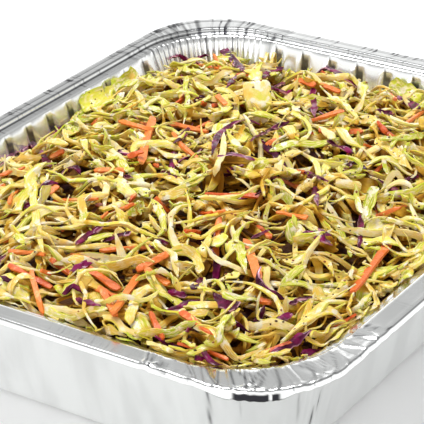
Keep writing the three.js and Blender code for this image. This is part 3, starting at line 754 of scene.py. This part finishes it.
def press(x, y, half_width, thickness, give):
    """Settles a line on the heap. Returns its heights and how far it rolls, and raises the ground."""
    step_x, step_y = np.gradient(x), np.gradient(y)
    step = np.hypot(step_x, step_y) + 1e-9
    side_x, side_y = -step_y / step, step_x / step
    reach = 0.7 * half_width
    left = ground[cells(x - side_x * reach, y - side_y * reach)]
    middle = ground[cells(x, y)]
    right = ground[cells(x + side_x * reach, y + side_y * reach)]
    under = 0.55 * np.maximum(np.maximum(left, right), middle) + 0.15 * (left + middle + right)
    rest = bridge(under, give)
    roll = np.clip(0.8 * np.arctan2(bridge(right, 1) - bridge(left, 1), 2 * reach + 0.4), -0.8, 0.8)
    fine = np.linspace(0, len(x) - 1, 3 * len(x))
    whole = np.arange(len(x))
    for across in np.linspace(-1, 1, 5 if half_width < 3 else 9):
        line_x = np.interp(fine, whole, x + side_x * half_width * across)
        line_y = np.interp(fine, whole, y + side_y * half_width * across)
        raised = np.interp(fine, whole, rest + thickness * 0.9 + across * half_width * np.tan(roll) * 0.8)
        at = cells(line_x, line_y)
        ground[at] = np.maximum(ground[at], raised)
    return rest + thickness / 2, roll


laid = {kind: [] for kind in KINDS}


def lay(kind, x, y, width, thickness, give, stands=False, lift=0.0, arch=0.0, tilt=0.0):
    """Settles one piece, flat or standing on its edge, and keeps it with its kind."""
    if stands:
        z, roll = press(x, y, thickness / 2 + 0.5, 0.85 * width, give)
        roll = roll * 0.3 + heap_random.choice((-1, 1)) * heap_random.uniform(*EDGE_TURN)
    else:
        z, roll = press(x, y, width / 2, thickness, give)
    share = np.linspace(-1, 1, len(x))
    end = heap_random.choice((-1, 1))
    z = z + lift * np.clip(end * share, 0, 1) ** 2 + arch * np.cos(share * QUARTER) ** 2 + tilt * share
    z = z - np.maximum(0, z - HIGHEST + 3) * 0.7
    laid[kind].append((np.stack([x, y, z], axis=1), roll, width, thickness, False))


def plan_line(length, heading, curl, kink):
    """A line that curls steadily and changes its heading at a few kinks, as a torn shred does."""
    share = np.linspace(-0.5, 0.5, STATIONS)
    bend_shade = np.cumsum(heap_random.normal(0, kink, 4))
    headings = heading + 2 * curl * share + bend_shade[((share + 0.5) * 3.99).astype(int)]
    x = np.cumsum(np.cos(headings)) * length / (STATIONS - 1)
    y = np.cumsum(np.sin(headings)) * length / (STATIONS - 1)
    return x - x.mean(), y - y.mean()


def between(low, high):
    return heap_random.uniform(low, high)


def draw_piece(kind, centre_x, centre_y):
    """One random piece. By a wall it is calmer and runs along the wall, and it shrinks until it fits."""
    share, length, width, thickness, curl, kink, give, edgewise = KINDS[kind]
    size, wide, thick = between(*length), between(*width), between(*thickness)
    from_wall = beyond_room(centre_x, centre_y, WALL_PROBE)
    size = min(size, SHORT_PIECE) if from_wall > CLOSE_TO_WALL else size
    by_wall = from_wall > WALL_ZONE
    along_x = abs(centre_x) / PAN_HALF_X < abs(centre_y) / PAN_HALF_Y
    curl = heap_random.normal(0, curl) * (2.2 if between(0, 1) < 0.15 else 0.7)
    curl = np.clip(curl, -CURL_MOST, CURL_MOST)
    for attempt in range(7):
        heading = between(-0.7, 0.7) + (0 if along_x else QUARTER) if by_wall else between(0, 2 * math.pi)
        x, y = plan_line(size, heading, curl, kink * 0.7)
        x, y = x + centre_x, y + centre_y
        if (beyond_room(x, y, heap_level(x, y), ROOM_GAP + 0.4 * wide) < 0).all():
            limp = give is not None
            calm = CALM_BY_WALL if by_wall else 1
            lift = calm * between(*LIFT) if limp and between(0, 1) < LIFT_SHARE else 0
            arch = calm * between(*ARCH) if limp and between(0, 1) < ARCH_SHARE else 0
            tilt = calm * np.clip(heap_random.normal(0, TILT_SPREAD), -TILT_MOST, TILT_MOST)
            lay(kind, x, y, wide, thick, give, between(0, 1) < edgewise, lift, arch, tilt)
            return
        size *= 0.85


# Places are chosen on every fourth cell of the grid, and the heap is looked at anew now and then.
COARSE = 4
MOST_PIECES = 4000
LOOK_EVERY = 20


def strew(kinds, still_low):
    """Lays random pieces, more of them where the heap is low, until it is high enough on average."""
    shares = np.array([KINDS[kind][0] for kind in kinds])
    for number in range(MOST_PIECES):
        if number % LOOK_EVERY == 0:
            if (wanted - ground)[open_cells].mean() < still_low:
                break
            missing = np.where(open_cells, np.maximum(wanted - ground, 0), 0)[::COARSE, ::COARSE]
            weight = (missing ** 1.6 + 1e-6 * open_cells[::COARSE, ::COARSE]).ravel()
            chances = np.cumsum(weight) / weight.sum()
        spot = min(int(np.searchsorted(chances, heap_random.random())), len(chances) - 1)
        spot_x, spot_y = np.unravel_index(spot, missing.shape)
        kind = kinds[int(heap_random.choice(len(kinds), p=shares / shares.sum()))]
        off_x, off_y = between(-2, 2), between(-2, 2)
        draw_piece(kind, spot_x * COARSE - GRID_X + off_x, spot_y * COARSE - GRID_Y + off_y)


strew(list(KINDS), 0.1)

# Pieces with a place of their own: the width in millimetres, with x and the thickness where that is
# set, then the places that the piece runs through, in pixels of the camera's frame. Each is let down
# along the camera's line of sight onto the heap or the pan's far wall.
SEEN = {
    "carrots": """
        3.8 153,121 141,166/ 3.2 24,171 0,178/ 2.8 54,204 98,202/ 2.4 95,174 126,174/ 2.6 49,196 58,189/
        2.4 119,214 133,208/ 2.2 92,127 101,121/ 2.6 128,160 143,154/ 2.2 51,161 64,154/
        3 296,82 315,88/ 3 320,87 340,95/ 3.2 405,127 424,114/ 2.6 378,125 386,136/ 2.6 238,77 251,78/
        2.6 217,98 226,107/ 2.4 266,149 280,140/ 2.6 388,97 395,103/ 3 277,215 307,221/
        2.4 212,218 224,214/ 2 297,174 305,176/ 3.4 84,269 119,293/ 3 95,291 118,301/
        2.8 102,293 116,320/ 3.2 114,316 139,279/ 2.8 137,274 169,257/ 2.8 146,273 169,288/
        2.4 72,258 88,263/ 2.2 41,274 51,278/ 3 181,315 212,337/ 2.2 201,217 212,216/
        2.4 185,235 200,236/ 2.4 92,313 101,322/ 3.8 246,243 259,282/ 3.9 390,246 353,295/
        2.6 259,304 271,307/ 2.2 265,365 280,364/ 2.6 393,291 404,285""",
    "red_shreds": """
        3.4 25,135 35,150 51,170/ 2.8 0,168 14,156 32,147/ 2.4 41,139 68,126/ 3 193,126 184,137 174,146/
        3 174,154 171,172/ 2.4 162,174 177,180/ 2.6 169,60 188,52 208,46/ 2.2 124,178 133,180/
        4.4 221,50 235,62 243,72 256,82/ 2.6 225,92 238,76/ 3.4 259,80 270,76 283,70/ 3 271,92 284,86/
        3 313,90 315,120/ 3.6 316,63 330,72 345,80 362,93/ 3.4 398,99 408,106 420,111/
        2.6 374,113 396,115/ 2.8 212,146 220,134 230,126 245,118 260,127/ 3 251,142 268,134 289,125/
        2.6 217,146 235,156 255,163/ 3 263,147 275,158 288,171/ 2.2 227,174 244,168/
        2.8 304,175 315,178 328,184/ 2.4 327,143 340,150 354,156/ 2.4 359,167 369,177/
        3 378,182 390,190 405,201/ 2.8 400,186 418,178/ 2.6 313,190 318,207/ 3 76,247 92,234 111,223/
        4.2 103,244 117,238 131,234/ 3 70,275 85,267 100,262/ 2.6 151,250 160,242 168,247/
        3 192,292 205,281/ 2.6 168,294 188,299/ 3.8 164,315 182,308 200,303/ 2.6 76,302 90,306 101,309/
        4.4 105,319 122,324 140,336 162,342/ 3 155,339 172,350 188,355/ 2.4 92,330 103,335/
        2.6 0,279 11,285/ 2.6 0,303 9,298/ 2.8 360,218 361,236 358,255/ 3 303,236 318,240 332,248/
        2.6 318,231 330,238/ 3.2 212,253 218,268 216,284/ 6 213,296 222,302 236,311/
        3.8 270,358 290,348 311,333/ 3 270,328 282,322 293,318/ 2.6 301,357 320,353/
        2.8 289,307 300,302 312,300/ 2.8 405,286 424,266/ 2.4 251,242 269,233/ 2.2 257,281 262,292""",
    "pale_shreds": """
        4 33,182 35,215 45,268/ 1.9 332,119 347,98 362,79/ 4.4 376,142 394,156 412,173/
        3.2 307,74 315,44/ 2.6 51,250 70,252 90,250 112,248 130,253/ 3 10,308 9,290 20,276 34,282/
        3.4 47,315 68,322 92,330/ 3.6 107,333 132,342 161,347/ 4 130,328 133,300 150,287 166,296/
        4 281,345 307,322 333,307 349,334/ 2.4 300,232 293,250 296,270 312,288/
        2.6 254,368 262,360 270,352/ 1.8 270,74 277,38/ 1.8 262,76 271,42/ 3.4 293,201 304,188 316,180/
        3 214,180 222,150 224,136/ 2.4 150,148 170,160 190,158""",
    "green_shreds": """
        2.8 380,143 402,142 424,138/ 4 238,247 242,262 247,278/ 3 216,60 232,52 250,56/
        3.4 340,70 370,76 400,90/ 3.6 212,63 228,60 246,62""",
    "leaves": """
        9 81,114 92,100 108,88/ 10 106,98 116,84 128,72/ 8 61,298 76,288 92,280/
        8 392,84 408,92 423,106/ 7 88,112 78,124 70,138""",
    "ribs": """
        4x3 303,194 311,187""",
}
FOCAL = LENS / SENSOR * FRAME_PIXELS
FRAME_MIDDLE = FRAME_PIXELS / 2
SIGHT_TOP, SIGHT_FOOT, SIGHT_STEPS = 82, 34, 161
# A placed piece lies a little over the heap and rolls with it, or with a leaf's own turn. It may stand
# up from the heap by so much, and the heap is filled up less where it lies.
SEEN_RISE = 0.9
SEEN_ROLL = 0.6
LEAF_TURN = 1.2
RISE_MOST = 9
SHOWN_GAP = 6


def soften(heights):
    """Averages a grid of heights with its neighbours."""
    for axis in (0, 1):
        heights = (np.roll(heights, 1, axis) + 2 * heights + np.roll(heights, -1, axis)) / 4
    return heights


def sight(pixel_x, pixel_y, heights):
    """The first place on the heap, or on the pan's wall above it, behind a pixel."""
    across, over = (pixel_x - FRAME_MIDDLE) / FOCAL, (FRAME_MIDDLE - pixel_y) / FOCAL
    line = np.array(-back) + np.array(camera_right) * across + np.array(camera_up) * over
    fall = (np.linspace(SIGHT_TOP, SIGHT_FOOT, SIGHT_STEPS) - camera_place.z) / line[2]
    track = np.array(camera_place) + fall[:, None] * line
    x, y, z = track.T
    blocked = (z < heights[cells(x, y)]) | (beyond_room(x, y, np.minimum(z, WALL_TOP), 2.0) > 0)
    entered = np.maximum.accumulate(beyond_room(x, y, WALL_PROBE, 6.0) < 0)
    return track[np.argmax(blocked & entered)]


def hold_inside(x, y, gap):
    """Points moved to stay clear of the pan's wall by a gap."""
    half_x, half_y, radius, shift = room(WALL_PROBE, gap)
    out_x = np.maximum(np.abs(x) - (half_x - radius), 0)
    out_y = np.maximum(np.abs(y - shift) - (half_y - radius), 0)
    reach = np.hypot(out_x, out_y) + 1e-9
    back_in = np.maximum(reach - radius - LEDGE_REACH * near_ledge(x, y), 0) / reach
    return x - np.sign(x) * out_x * back_in, y - np.sign(y - shift) * out_y * back_in


def turned_to_camera(line):
    """The roll that shows a leaf's face to the camera, most of the way from lying flat."""
    tangent = np.gradient(line, axis=0)
    tangent /= np.linalg.norm(tangent, axis=1, keepdims=True)
    level = np.cross((0, 0, 1.0), tangent)
    level /= np.linalg.norm(level, axis=1, keepdims=True)
    return LEAF_TURN * np.arctan2(-level @ np.array(back), np.cross(tangent, level) @ np.array(back))


for kind, lines in SEEN.items():
    for entry in lines.split("/"):
        sizes, *corners = entry.split()
        width, *deep = map(float, sizes.split("x"))
        corners = np.array([[float(value) for value in corner.split(",")] for corner in corners])
        run = np.concatenate([[0], np.cumsum(np.hypot(*np.diff(corners, axis=0).T))])
        share = np.linspace(0, 1, STATIONS)
        pixels = np.stack([np.interp(share * run[-1], run, corners[:, k]) for k in (0, 1)], axis=1)
        surface = soften(soften(ground))
        hits = np.array([sight(*pixel, surface) for pixel in pixels])
        if len(corners) == 2:
            hits = np.stack([np.polyval(np.polyfit(share, line, 1), share) for line in hits.T], axis=1)
        for smoothing in range(6):
            hits[1:-1] = (hits[:-2] + 2 * hits[1:-1] + hits[2:]) / 4
        hits[:, 0], hits[:, 1] = hold_inside(hits[:, 0], hits[:, 1], ROOM_GAP + width / 2)
        hits[:, 2] = np.minimum(hits[:, 2], surface[cells(hits[:, 0], hits[:, 1])] + RISE_MOST)
        thickness = deep[0] if deep else between(*KINDS[kind][3])
        roll = press(hits[:, 0], hits[:, 1], width / 2, thickness, KINDS[kind][6])[1]
        if kind == "leaves":
            roll = turned_to_camera(hits)
        wanted[cells(hits[:, 0], hits[:, 1])] -= SHOWN_GAP
        hits[:, 2] += thickness / 2 + SEEN_RISE
        laid[kind].append((hits, roll * SEEN_ROLL, width, thickness, True))
strew(["pale_shreds", "green_shreds", "threads", "leaves"], -0.1)


def jagged(count, knots):
    """A random value that turns sharply, for each strip at each of its stations."""
    values = heap_random.uniform(-1, 1, (count, knots))
    at = np.linspace(0, knots - 1, STATIONS)
    low = np.minimum(at.astype(int), knots - 2)
    return values[:, low] + (values[:, low + 1] - values[:, low]) * (at - low)


# The clear space that the loose pieces leave to the foil, the ledge's width, and how far below the
# ledge or flange a point may lie and still be lifted onto it.
FOIL_GAP = 0.5
LEDGE_WIDTH = 4.2
BESIDE_SHELF = 3.0
# A strip that is buried deeper than this all along is left out, and colours darken with depth as
# painted shade.
BURIED = 3.5
OPEN_DEPTH = 4.6
SHARP_EDGE = math.radians(50)


def keep_off_foil(points):
    """Points clear of the pan: lifted onto its ledge or flange, or moved in where they lie deeper."""
    x, y, z = points.T
    gap = FOIL_GAP + PANEL_ROOM * np.clip((WALL_TOP - z) / (WALL_TOP - BULGE_LEVEL), 0, 1)
    half_x, half_y, radius, shift = room(z, gap)
    out_x = np.maximum(np.abs(x) - (half_x - radius), 0)
    out_y = np.maximum(np.abs(y - shift) - (half_y - radius), 0)
    reach = np.hypot(out_x, out_y) + 1e-9
    past = reach - radius
    shelf = np.where(past > LEDGE_WIDTH, FLANGE_TOP + 0.3, LEDGE)
    over_shelf = (past > 0) & (z > shelf - BESIDE_SHELF)
    z = np.where(over_shelf, np.maximum(z, shelf + 0.6 + 0.2 * (z - shelf)), z)
    inward = np.where((past > 0) & ~over_shelf, 0.9 * past / reach, 0)
    return np.stack([x - np.sign(x) * out_x * inward, y - np.sign(y - shift) * out_y * inward, z], axis=1)


def mark_strands(piece, facts, openly):
    """Keeps at each point its run along, place across and strip's own number, and how openly it lies."""
    strand = piece.data.attributes.new("strand", "FLOAT_VECTOR", "POINT")
    strand.data.foreach_set("vector", facts.astype(np.float32).ravel())
    openness = piece.data.attributes.new("open", "FLOAT", "POINT")
    openness.data.foreach_set("value", openly.astype(np.float32).ravel())


def make_strips(name, material, columns, ends, ragged=0.25, crumple=0.4, cup=0.25):
    """One mesh of all strips of a kind that aren't buried. Each strip's flat section follows its line,
    rolled to lie on what it rests on. Every point knows its run along the strip, its place across, its
    strip's own number from 0 to 1 and how openly it lies."""
    pieces = [piece for piece in laid[name]
              if (piece[0][:, 2] > ground[cells(piece[0][:, 0], piece[0][:, 1])] - BURIED).any()]
    count, sides = len(pieces), 2 * len(columns)
    path = np.stack([piece[0] for piece in pieces])
    roll = np.stack([piece[1] for piece in pieces])
    width = np.array([piece[2] for piece in pieces])[:, None]
    thickness = np.array([piece[3] for piece in pieces])[:, None]
    share = np.linspace(0, 1, STATIONS)[None]

    def draw(low, high):
        return heap_random.uniform(low, high, (count, 1))

    tangent = np.gradient(path, axis=1)
    tangent /= np.linalg.norm(tangent, axis=2, keepdims=True) + 1e-9
    level = np.cross(np.array([0, 0, 1.0]), tangent)
    level /= np.linalg.norm(level, axis=2, keepdims=True) + 1e-9
    above = np.cross(tangent, level)
    angle = (roll + draw(-0.35, 0.35) + draw(-1, 1) * (share - 0.5))[..., None]
    side = np.cos(angle) * level + np.sin(angle) * above
    up = np.cross(tangent, side)
    taper = ends(share, draw(0, 1), draw(0, 1))
    columns = np.array(columns)
    across = np.concatenate([columns, columns[::-1]])
    face = np.concatenate([-np.ones(len(columns)), np.ones(len(columns))])
    left = width / 2 * taper * (1 + ragged * jagged(count, 9))
    right = width / 2 * taper * (1 + ragged * jagged(count, 9))
    ripples = np.stack([jagged(count, 9) for column in columns], axis=2)
    ripples = np.concatenate([ripples, ripples[:, :, ::-1]], axis=2) * crumple * taper[..., None]
    reach = np.where(across < 0, left[..., None], right[..., None]) * across
    bend = (draw(-cup, cup) * width / 2)[..., None] * across ** 2 * taper[..., None]
    half_thickness = (thickness / 2 * (0.5 + 0.5 * taper))[..., None]
    half_thickness = half_thickness * (1 - 0.3 * np.abs(across) ** 4) * face
    points = (path[:, :, None, :] + side[:, :, None, :] * reach[..., None]
              + up[:, :, None, :] * (half_thickness + bend + ripples)[..., None])
    ring = np.arange(sides)
    start = (np.arange(count)[:, None] * STATIONS + np.arange(STATIONS - 1)[None]).ravel()[:, None] * sides
    quads = np.stack([start + ring, start + (ring + 1) % sides,
                      start + sides + (ring + 1) % sides, start + sides + ring], axis=2)
    faces = quads.reshape(-1, 4).tolist()
    half = len(columns)
    for number in range(count):
        for station, turned in ((0, False), (STATIONS - 1, True)):
            first = (number * STATIONS + station) * sides
            for k in range(half - 1):
                cap = (first + k, first + sides - 1 - k, first + sides - 2 - k, first + k + 1)
                faces.append(tuple(int(corner) for corner in (cap[::-1] if turned else cap)))
    points = keep_off_foil(points.reshape(-1, 3))
    eased = HIGHEST + (LIMIT - HIGHEST) * np.tanh((points[:, 2] - HIGHEST) / (LIMIT - HIGHEST))
    points[:, 2] = np.where(points[:, 2] > HIGHEST, eased, points[:, 2])
    placed = np.array([piece[4] for piece in pieces])[:, None]
    # How openly each point lies under the heap's top: the materials paint deeper points darker, as shade.
    depth = ground[cells(path[:, :, 0], path[:, :, 1])] - path[:, :, 2]
    beside = smooth(WALL_ZONE, CLOSE_TO_WALL, beyond_room(path[:, :, 0], path[:, :, 1], WALL_PROBE))
    least = 0.7 * beside * near_ledge(path[:, :, 0], path[:, :, 1])
    openly = np.where(placed, 1, np.clip(1.3 - depth / OPEN_DEPTH, least, 1))
    openly = np.repeat(openly.ravel(), sides)
    strips = make_mesh(name, points, faces)
    strips.data.set_sharp_from_angle(angle=SHARP_EDGE)
    length = np.linalg.norm(np.diff(path, axis=1), axis=2).sum(axis=1)[:, None]
    shape = (count, STATIONS, sides)
    facts = np.stack([
        np.broadcast_to((share * length)[..., None], shape), np.broadcast_to(across, shape),
        np.broadcast_to(heap_random.random(count)[:, None, None], shape)], axis=-1)
    mark_strands(strips, facts, openly)
    strips.data.materials.append(material)
    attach(strips, "root")
    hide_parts("coleslaw")
    return strips


def strand_parts(place):
    """The run along, the place across and the own number of a strip, and how openly it lies."""
    strand = place.attribute("strand", "Vector")
    return strand.axis("X"), strand.axis("Y"), strand.axis("Z"), place.attribute("open")


def tapered(share, first, second):
    """A shred's width along its length: drawn out to a thin tip at one end or both."""
    start = smooth(0, 1, np.clip(share / (0.04 + 0.6 * first ** 2), 0, 1))
    finish_end = smooth(0, 1, np.clip((1 - share) / (0.04 + 0.6 * second ** 2), 0, 1))
    return 0.18 + 0.82 * start * finish_end


def blunt(share, first, second):
    """Cut square, with the corners just rounded."""
    return 0.7 + 0.3 * smooth(0, 0.06, share) * smooth(0, 0.06, 1 - share)


# ------------------------------------------------------------------------------------------------
# White cabbage
# Shreds, threads, strips of leaf and cuts of rib from a pale green head: creamy at the heart, green
# at the outer leaves, veined along their length and wet with dressing and fine spice.
# ------------------------------------------------------------------------------------------------
def cabbage_material(name, tones, skin):
    """Cabbage of four tones from the heart outwards, with its skin's colour along the cut edges."""
    material, shader, place = finish(name, Specular_IOR_Level=0.1, Coat_Roughness=0.13,
                                     Subsurface_Weight=0.2, Subsurface_Scale=0.002)
    shader.inputs["Subsurface Radius"].default_value = (1, 0.6, 0.2)
    along, across, own, openly = strand_parts(place)
    tone = own * 0.6 + place.noise(45, 2) * 0.4 + place.noise(17, 1) * 0.25
    base = tone.node("ShaderNodeValToRGB", {"stops": tuple(zip(TONE_STOPS, tones))}, {"Fac": tone})
    flow = place.node("ShaderNodeCombineXYZ", None, {"X": along * 0.12, "Y": across * 1.6, "Z": own * 40})
    veins = flow.node("ShaderNodeTexNoise", None, {"Vector": flow, "Scale": 2.6, "Detail": 4})
    veined = veins.between(0.42, 0.7).blend(base, (0.9, 0.75, 0.4, 1))
    patches = place.noise(130, 3)
    rim = (across * across).between(0.35, 0.95) * patches.between(0.4, 0.55)
    edged = (0.8 * rim).blend(veined, skin)
    film = place.noise(230, 4)
    dressed = film.between(0.53, 0.66).blend(edged, (0.86, 0.77, 0.56, 1))
    stained = place.noise(75, 4).between(0.56, 0.7).blend(dressed, (0.82, 0.53, 0.1, 1))
    # Painted shade: pieces lying deeper under the heap's top turn darker and browner, through a golden half
    # shade.
    deep_shade = patches.blend((0.15, 0.036, 0.003, 1), (0.45, 0.21, 0.012, 1))
    half_shade = openly.between(0, 0.55).blend(deep_shade, (0.66, 0.38, 0.035, 1))
    feed(shader, "Base Color", openly.between(0.35, 1).blend(half_shade, stained))
    feed(shader, "Roughness", 0.62 - 0.25 * film.between(0.4, 0.65))
    feed(shader, "Coat Weight", 0.5 * openly.between(0.5, 1) * film.between(0.42, 0.56))
    roughen(shader, 0.7, 0.0009, 0.6 * veins + 0.9 * film + 0.25 * place.noise(900, 2))
    return material


PALE_TONES = ((0.85, 0.74, 0.5), (0.84, 0.67, 0.29), (0.85, 0.61, 0.12), (0.74, 0.45, 0.045))
GREEN_TONES = ((0.9, 0.78, 0.25), (0.8, 0.69, 0.1), (0.58, 0.58, 0.035), (0.37, 0.45, 0.014))
TONE_STOPS = (0.2, 0.45, 0.7, 1.0)
pale = cabbage_material("pale cabbage", PALE_TONES, (0.66, 0.62, 0.05, 1))
green = cabbage_material("green cabbage", GREEN_TONES, (0.44, 0.5, 0.02, 1))
# The places across a strip where its section has a corner: a stick, a strip and a broad sheet.
STICK, STRIP, SHEET = (-1, 0, 1), (-1, -0.35, 0.35, 1), (-1, -0.6, -0.2, 0.2, 0.6, 1)
dressed_strips = [
    make_strips("pale_shreds", pale, STRIP, tapered, 0.36, 0.42),
    make_strips("green_shreds", green, STRIP, tapered, 0.36, 0.42),
    make_strips("leaves", green, SHEET, tapered, 0.45, 0.7, 0.4),
    make_strips("ribs", pale, STRIP, blunt, 0.15, 0.3),
]
make_strips("threads", pale, STICK, tapered, 0.15, 0.1)

# One thick lump of the head's heart lies on top towards the far corner.
HEART_PIXEL = (258, 97)
HEART_HALF = (7.7, 7.0, 2.4)
HEART_TURN = Matrix.Rotation(0.6, 3, level_right) @ Matrix.Rotation(0.7, 3, "Z")
HEART_SIDES = 48
HEART_RINGS = 15
HEART_TONE = 0.42
heart_spot = sight(*HEART_PIXEL, soften(ground))
around = np.linspace(0, 2 * math.pi, HEART_SIDES, endpoint=False)
heart_rings = []
for tilt in np.linspace(1.5, -1.5, HEART_RINGS):
    spread = math.cos(tilt) ** 0.2
    x = HEART_HALF[0] * spread * np.sign(np.cos(around)) * np.abs(np.cos(around)) ** 0.35
    y = HEART_HALF[1] * spread * np.sign(np.sin(around)) * np.abs(np.sin(around)) ** 0.4
    z = HEART_HALF[2] * math.copysign(abs(math.sin(tilt)) ** 0.45, tilt) + 0.02 * x * np.abs(y)
    torn_x = x * (1 + 0.05 * np.sin(y / 1.5 + z)) + 0.25 * z
    torn_y = y * (1 - 0.04 * x / HEART_HALF[0] - 0.1 * (x < 0))
    heart_rings.append(heart_spot + np.stack([torn_x, torn_y, z], axis=1) @ np.array(HEART_TURN).T)
points, faces, uv = close_rings(heart_rings, around, np.arange(len(heart_rings)))
heart = make_mesh("heart_piece", points, faces)
heart_facts = np.concatenate([points[:, :2], np.full((len(points), 1), HEART_TONE)], axis=1)
mark_strands(heart, heart_facts, np.ones(len(points)))
heart.data.materials.append(pale)
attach(heart, "root")
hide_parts("coleslaw")
dressed_strips.append(heart)

# ------------------------------------------------------------------------------------------------
# Red cabbage
# Thin crinkled shreds with a dark purple skin on both faces and pale pink cut edges.
# ------------------------------------------------------------------------------------------------
red_cabbage, shader, place = finish("red cabbage", Roughness=0.45, Specular_IOR_Level=0.12,
                                    Coat_Roughness=0.12)
along, across, own, openly = strand_parts(place)
skin = place.noise(150, 4).between(0.4, 0.68).blend((0.05, 0.001, 0.018, 1), (0.24, 0.008, 0.085, 1))
flesh = (across * across).between(0.65, 1.0) * place.noise(110, 2).between(0.46, 0.6)
pink = flesh.blend(skin, (0.72, 0.36, 0.47, 1))
# Painted shade: deeper pieces darken to near black.
feed(shader, "Base Color", openly.between(0, 1).blend((0.045, 0.003, 0.012, 1), pink))
feed(shader, "Coat Weight", 0.7 * place.noise(220, 3).between(0.46, 0.6))
roughen(shader, 0.8, 0.001, place.noise(480, 4))
make_strips("red_shreds", red_cabbage, STRIP, tapered, 0.3, 0.55, 0.35)

# ------------------------------------------------------------------------------------------------
# Carrot
# Straight thin sticks from a coarse grater, orange, with rough faces.
# ------------------------------------------------------------------------------------------------
carrot, shader, place = finish("carrot", Roughness=0.42, Subsurface_Weight=0.1, Subsurface_Scale=0.002)
along, across, own, openly = strand_parts(place)
ripeness = (own * 0.6 + place.noise(60, 3) * 0.5).between(0.25, 0.8)
flesh = ripeness.blend((0.66, 0.1, 0.008, 1), (0.84, 0.22, 0.03, 1))
coated = place.noise(160, 3).between(0.56, 0.74).blend(flesh, (0.88, 0.38, 0.11, 1))
# Painted shade: deeper pieces darken to a dark brown.
feed(shader, "Base Color", openly.between(0, 1).blend((0.26, 0.035, 0.003, 1), coated))
roughen(shader, 0.8, 0.001, place.noise(500, 3))
make_strips("carrots", carrot, STICK, blunt, 0.12, 0.12, 0)

# ------------------------------------------------------------------------------------------------
# Spice
# Coarse pepper and dried chilli that came with the dressing, stuck to the open faces of the cabbage.
# Geometry Nodes strew the grains in clusters over the cabbage shreds, leaves, ribs and heart piece that
# lie near the top.
# ------------------------------------------------------------------------------------------------
SPICE = {"Density": 60000.0, "Grain radius": 0.56 * MM, "Seed": 3}
GRAIN_LEAST, GRAIN_MOST = (0.5, 0.5, 0.3), (1.5, 1.1, 0.7)
SORT_SEED = 8
CLUSTER_SCALE = 70.0
spice, shader, place = finish("ground spice", Roughness=0.5, Specular_IOR_Level=0.3)
grain = place.attribute("grain")
feed(shader, "Base Color", grain.between(0.3, 0.8).blend((0.04, 0.013, 0.006, 1), (0.26, 0.06, 0.01, 1)))

tree = bpy.data.node_groups.new("strewn spice", "GeometryNodeTree")
for label, kind in (("Shreds", "NodeSocketCollection"), ("Density", "NodeSocketFloat"),
                    ("Grain radius", "NodeSocketFloat"), ("Seed", "NodeSocketInt")):
    tree.interface.new_socket(name=label, in_out="INPUT", socket_type=kind)
tree.interface.new_socket(name="Geometry", in_out="OUTPUT", socket_type="NodeSocketGeometry")
given = Wire(tree)
shreds, cover, grain_radius, seed = [given.node("NodeGroupInput", output=label)
                                     for label in ("Shreds", "Density", "Grain radius", "Seed")]
on_what = given.node("GeometryNodeCollectionInfo", None, {"Collection": shreds})
surface = given.node("GeometryNodeRealizeInstances", None, {"Geometry": on_what})
upward = given.node("GeometryNodeInputNormal").axis("Z")
openly = given.node("GeometryNodeInputNamedAttribute", {"data_type": "FLOAT"}, {"Name": "open"},
                    output="Attribute")
clusters = given.node("ShaderNodeTexNoise", None, {"Scale": CLUSTER_SCALE, "Detail": 2.0})
density = cover * upward.between(0.1, 0.4) * openly.between(0.6, 1) * clusters.between(0.45, 0.68)
strewn = given.node("GeometryNodeDistributePointsOnFaces", None, {
    "Mesh": surface, "Density": density, "Seed": seed}, output="Points")
facing_out = Wire(tree, strewn.socket.node.outputs["Rotation"])
ball = given.node("GeometryNodeMeshIcoSphere", None, {
    "Radius": grain_radius, "Subdivisions": 1}, output="Mesh")
sizes = given.node("FunctionNodeRandomValue", {"data_type": "FLOAT_VECTOR"},
                   {0: GRAIN_LEAST, 1: GRAIN_MOST})
grains = given.node("GeometryNodeInstanceOnPoints", None, {
    "Points": strewn, "Instance": ball, "Scale": sizes, "Rotation": facing_out})
sort = given.node("FunctionNodeRandomValue", {"data_type": "FLOAT"}, {"Seed": SORT_SEED}, output=1)
marked = given.node("GeometryNodeStoreNamedAttribute", {"data_type": "FLOAT", "domain": "INSTANCE"},
                    {"Geometry": grains, "Name": "grain", "Value": sort})
solid = given.node("GeometryNodeRealizeInstances", None, {"Geometry": marked})
painted = given.node("GeometryNodeSetMaterial", None, {"Geometry": solid, "Material": spice})
tree.links.new(painted.socket, tree.nodes.new("NodeGroupOutput").inputs["Geometry"])

dressed_group = bpy.data.collections.new("dressed strips")
bpy.context.scene.collection.children.link(dressed_group)
for strips in dressed_strips:
    dressed_group.objects.link(strips)
specks = bpy.data.objects.new("spice_specks", bpy.data.meshes.new("spice_specks"))
bpy.context.collection.objects.link(specks)
strewing = specks.modifiers.new("strewing", "NODES")
strewing.node_group = tree
for socket in tree.interface.items_tree:
    if socket.in_out == "INPUT":
        strewing[socket.identifier] = {"Shreds": dressed_group, **SPICE}[socket.name]
evaluated = specks.evaluated_get(bpy.context.evaluated_depsgraph_get())
grain_mesh = bpy.data.meshes.new_from_object(evaluated)
specks.modifiers.clear()
specks.data = grain_mesh
bpy.context.scene.collection.children.unlink(dressed_group)
bpy.data.collections.remove(dressed_group)
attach(specks, "root")
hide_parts("coleslaw")
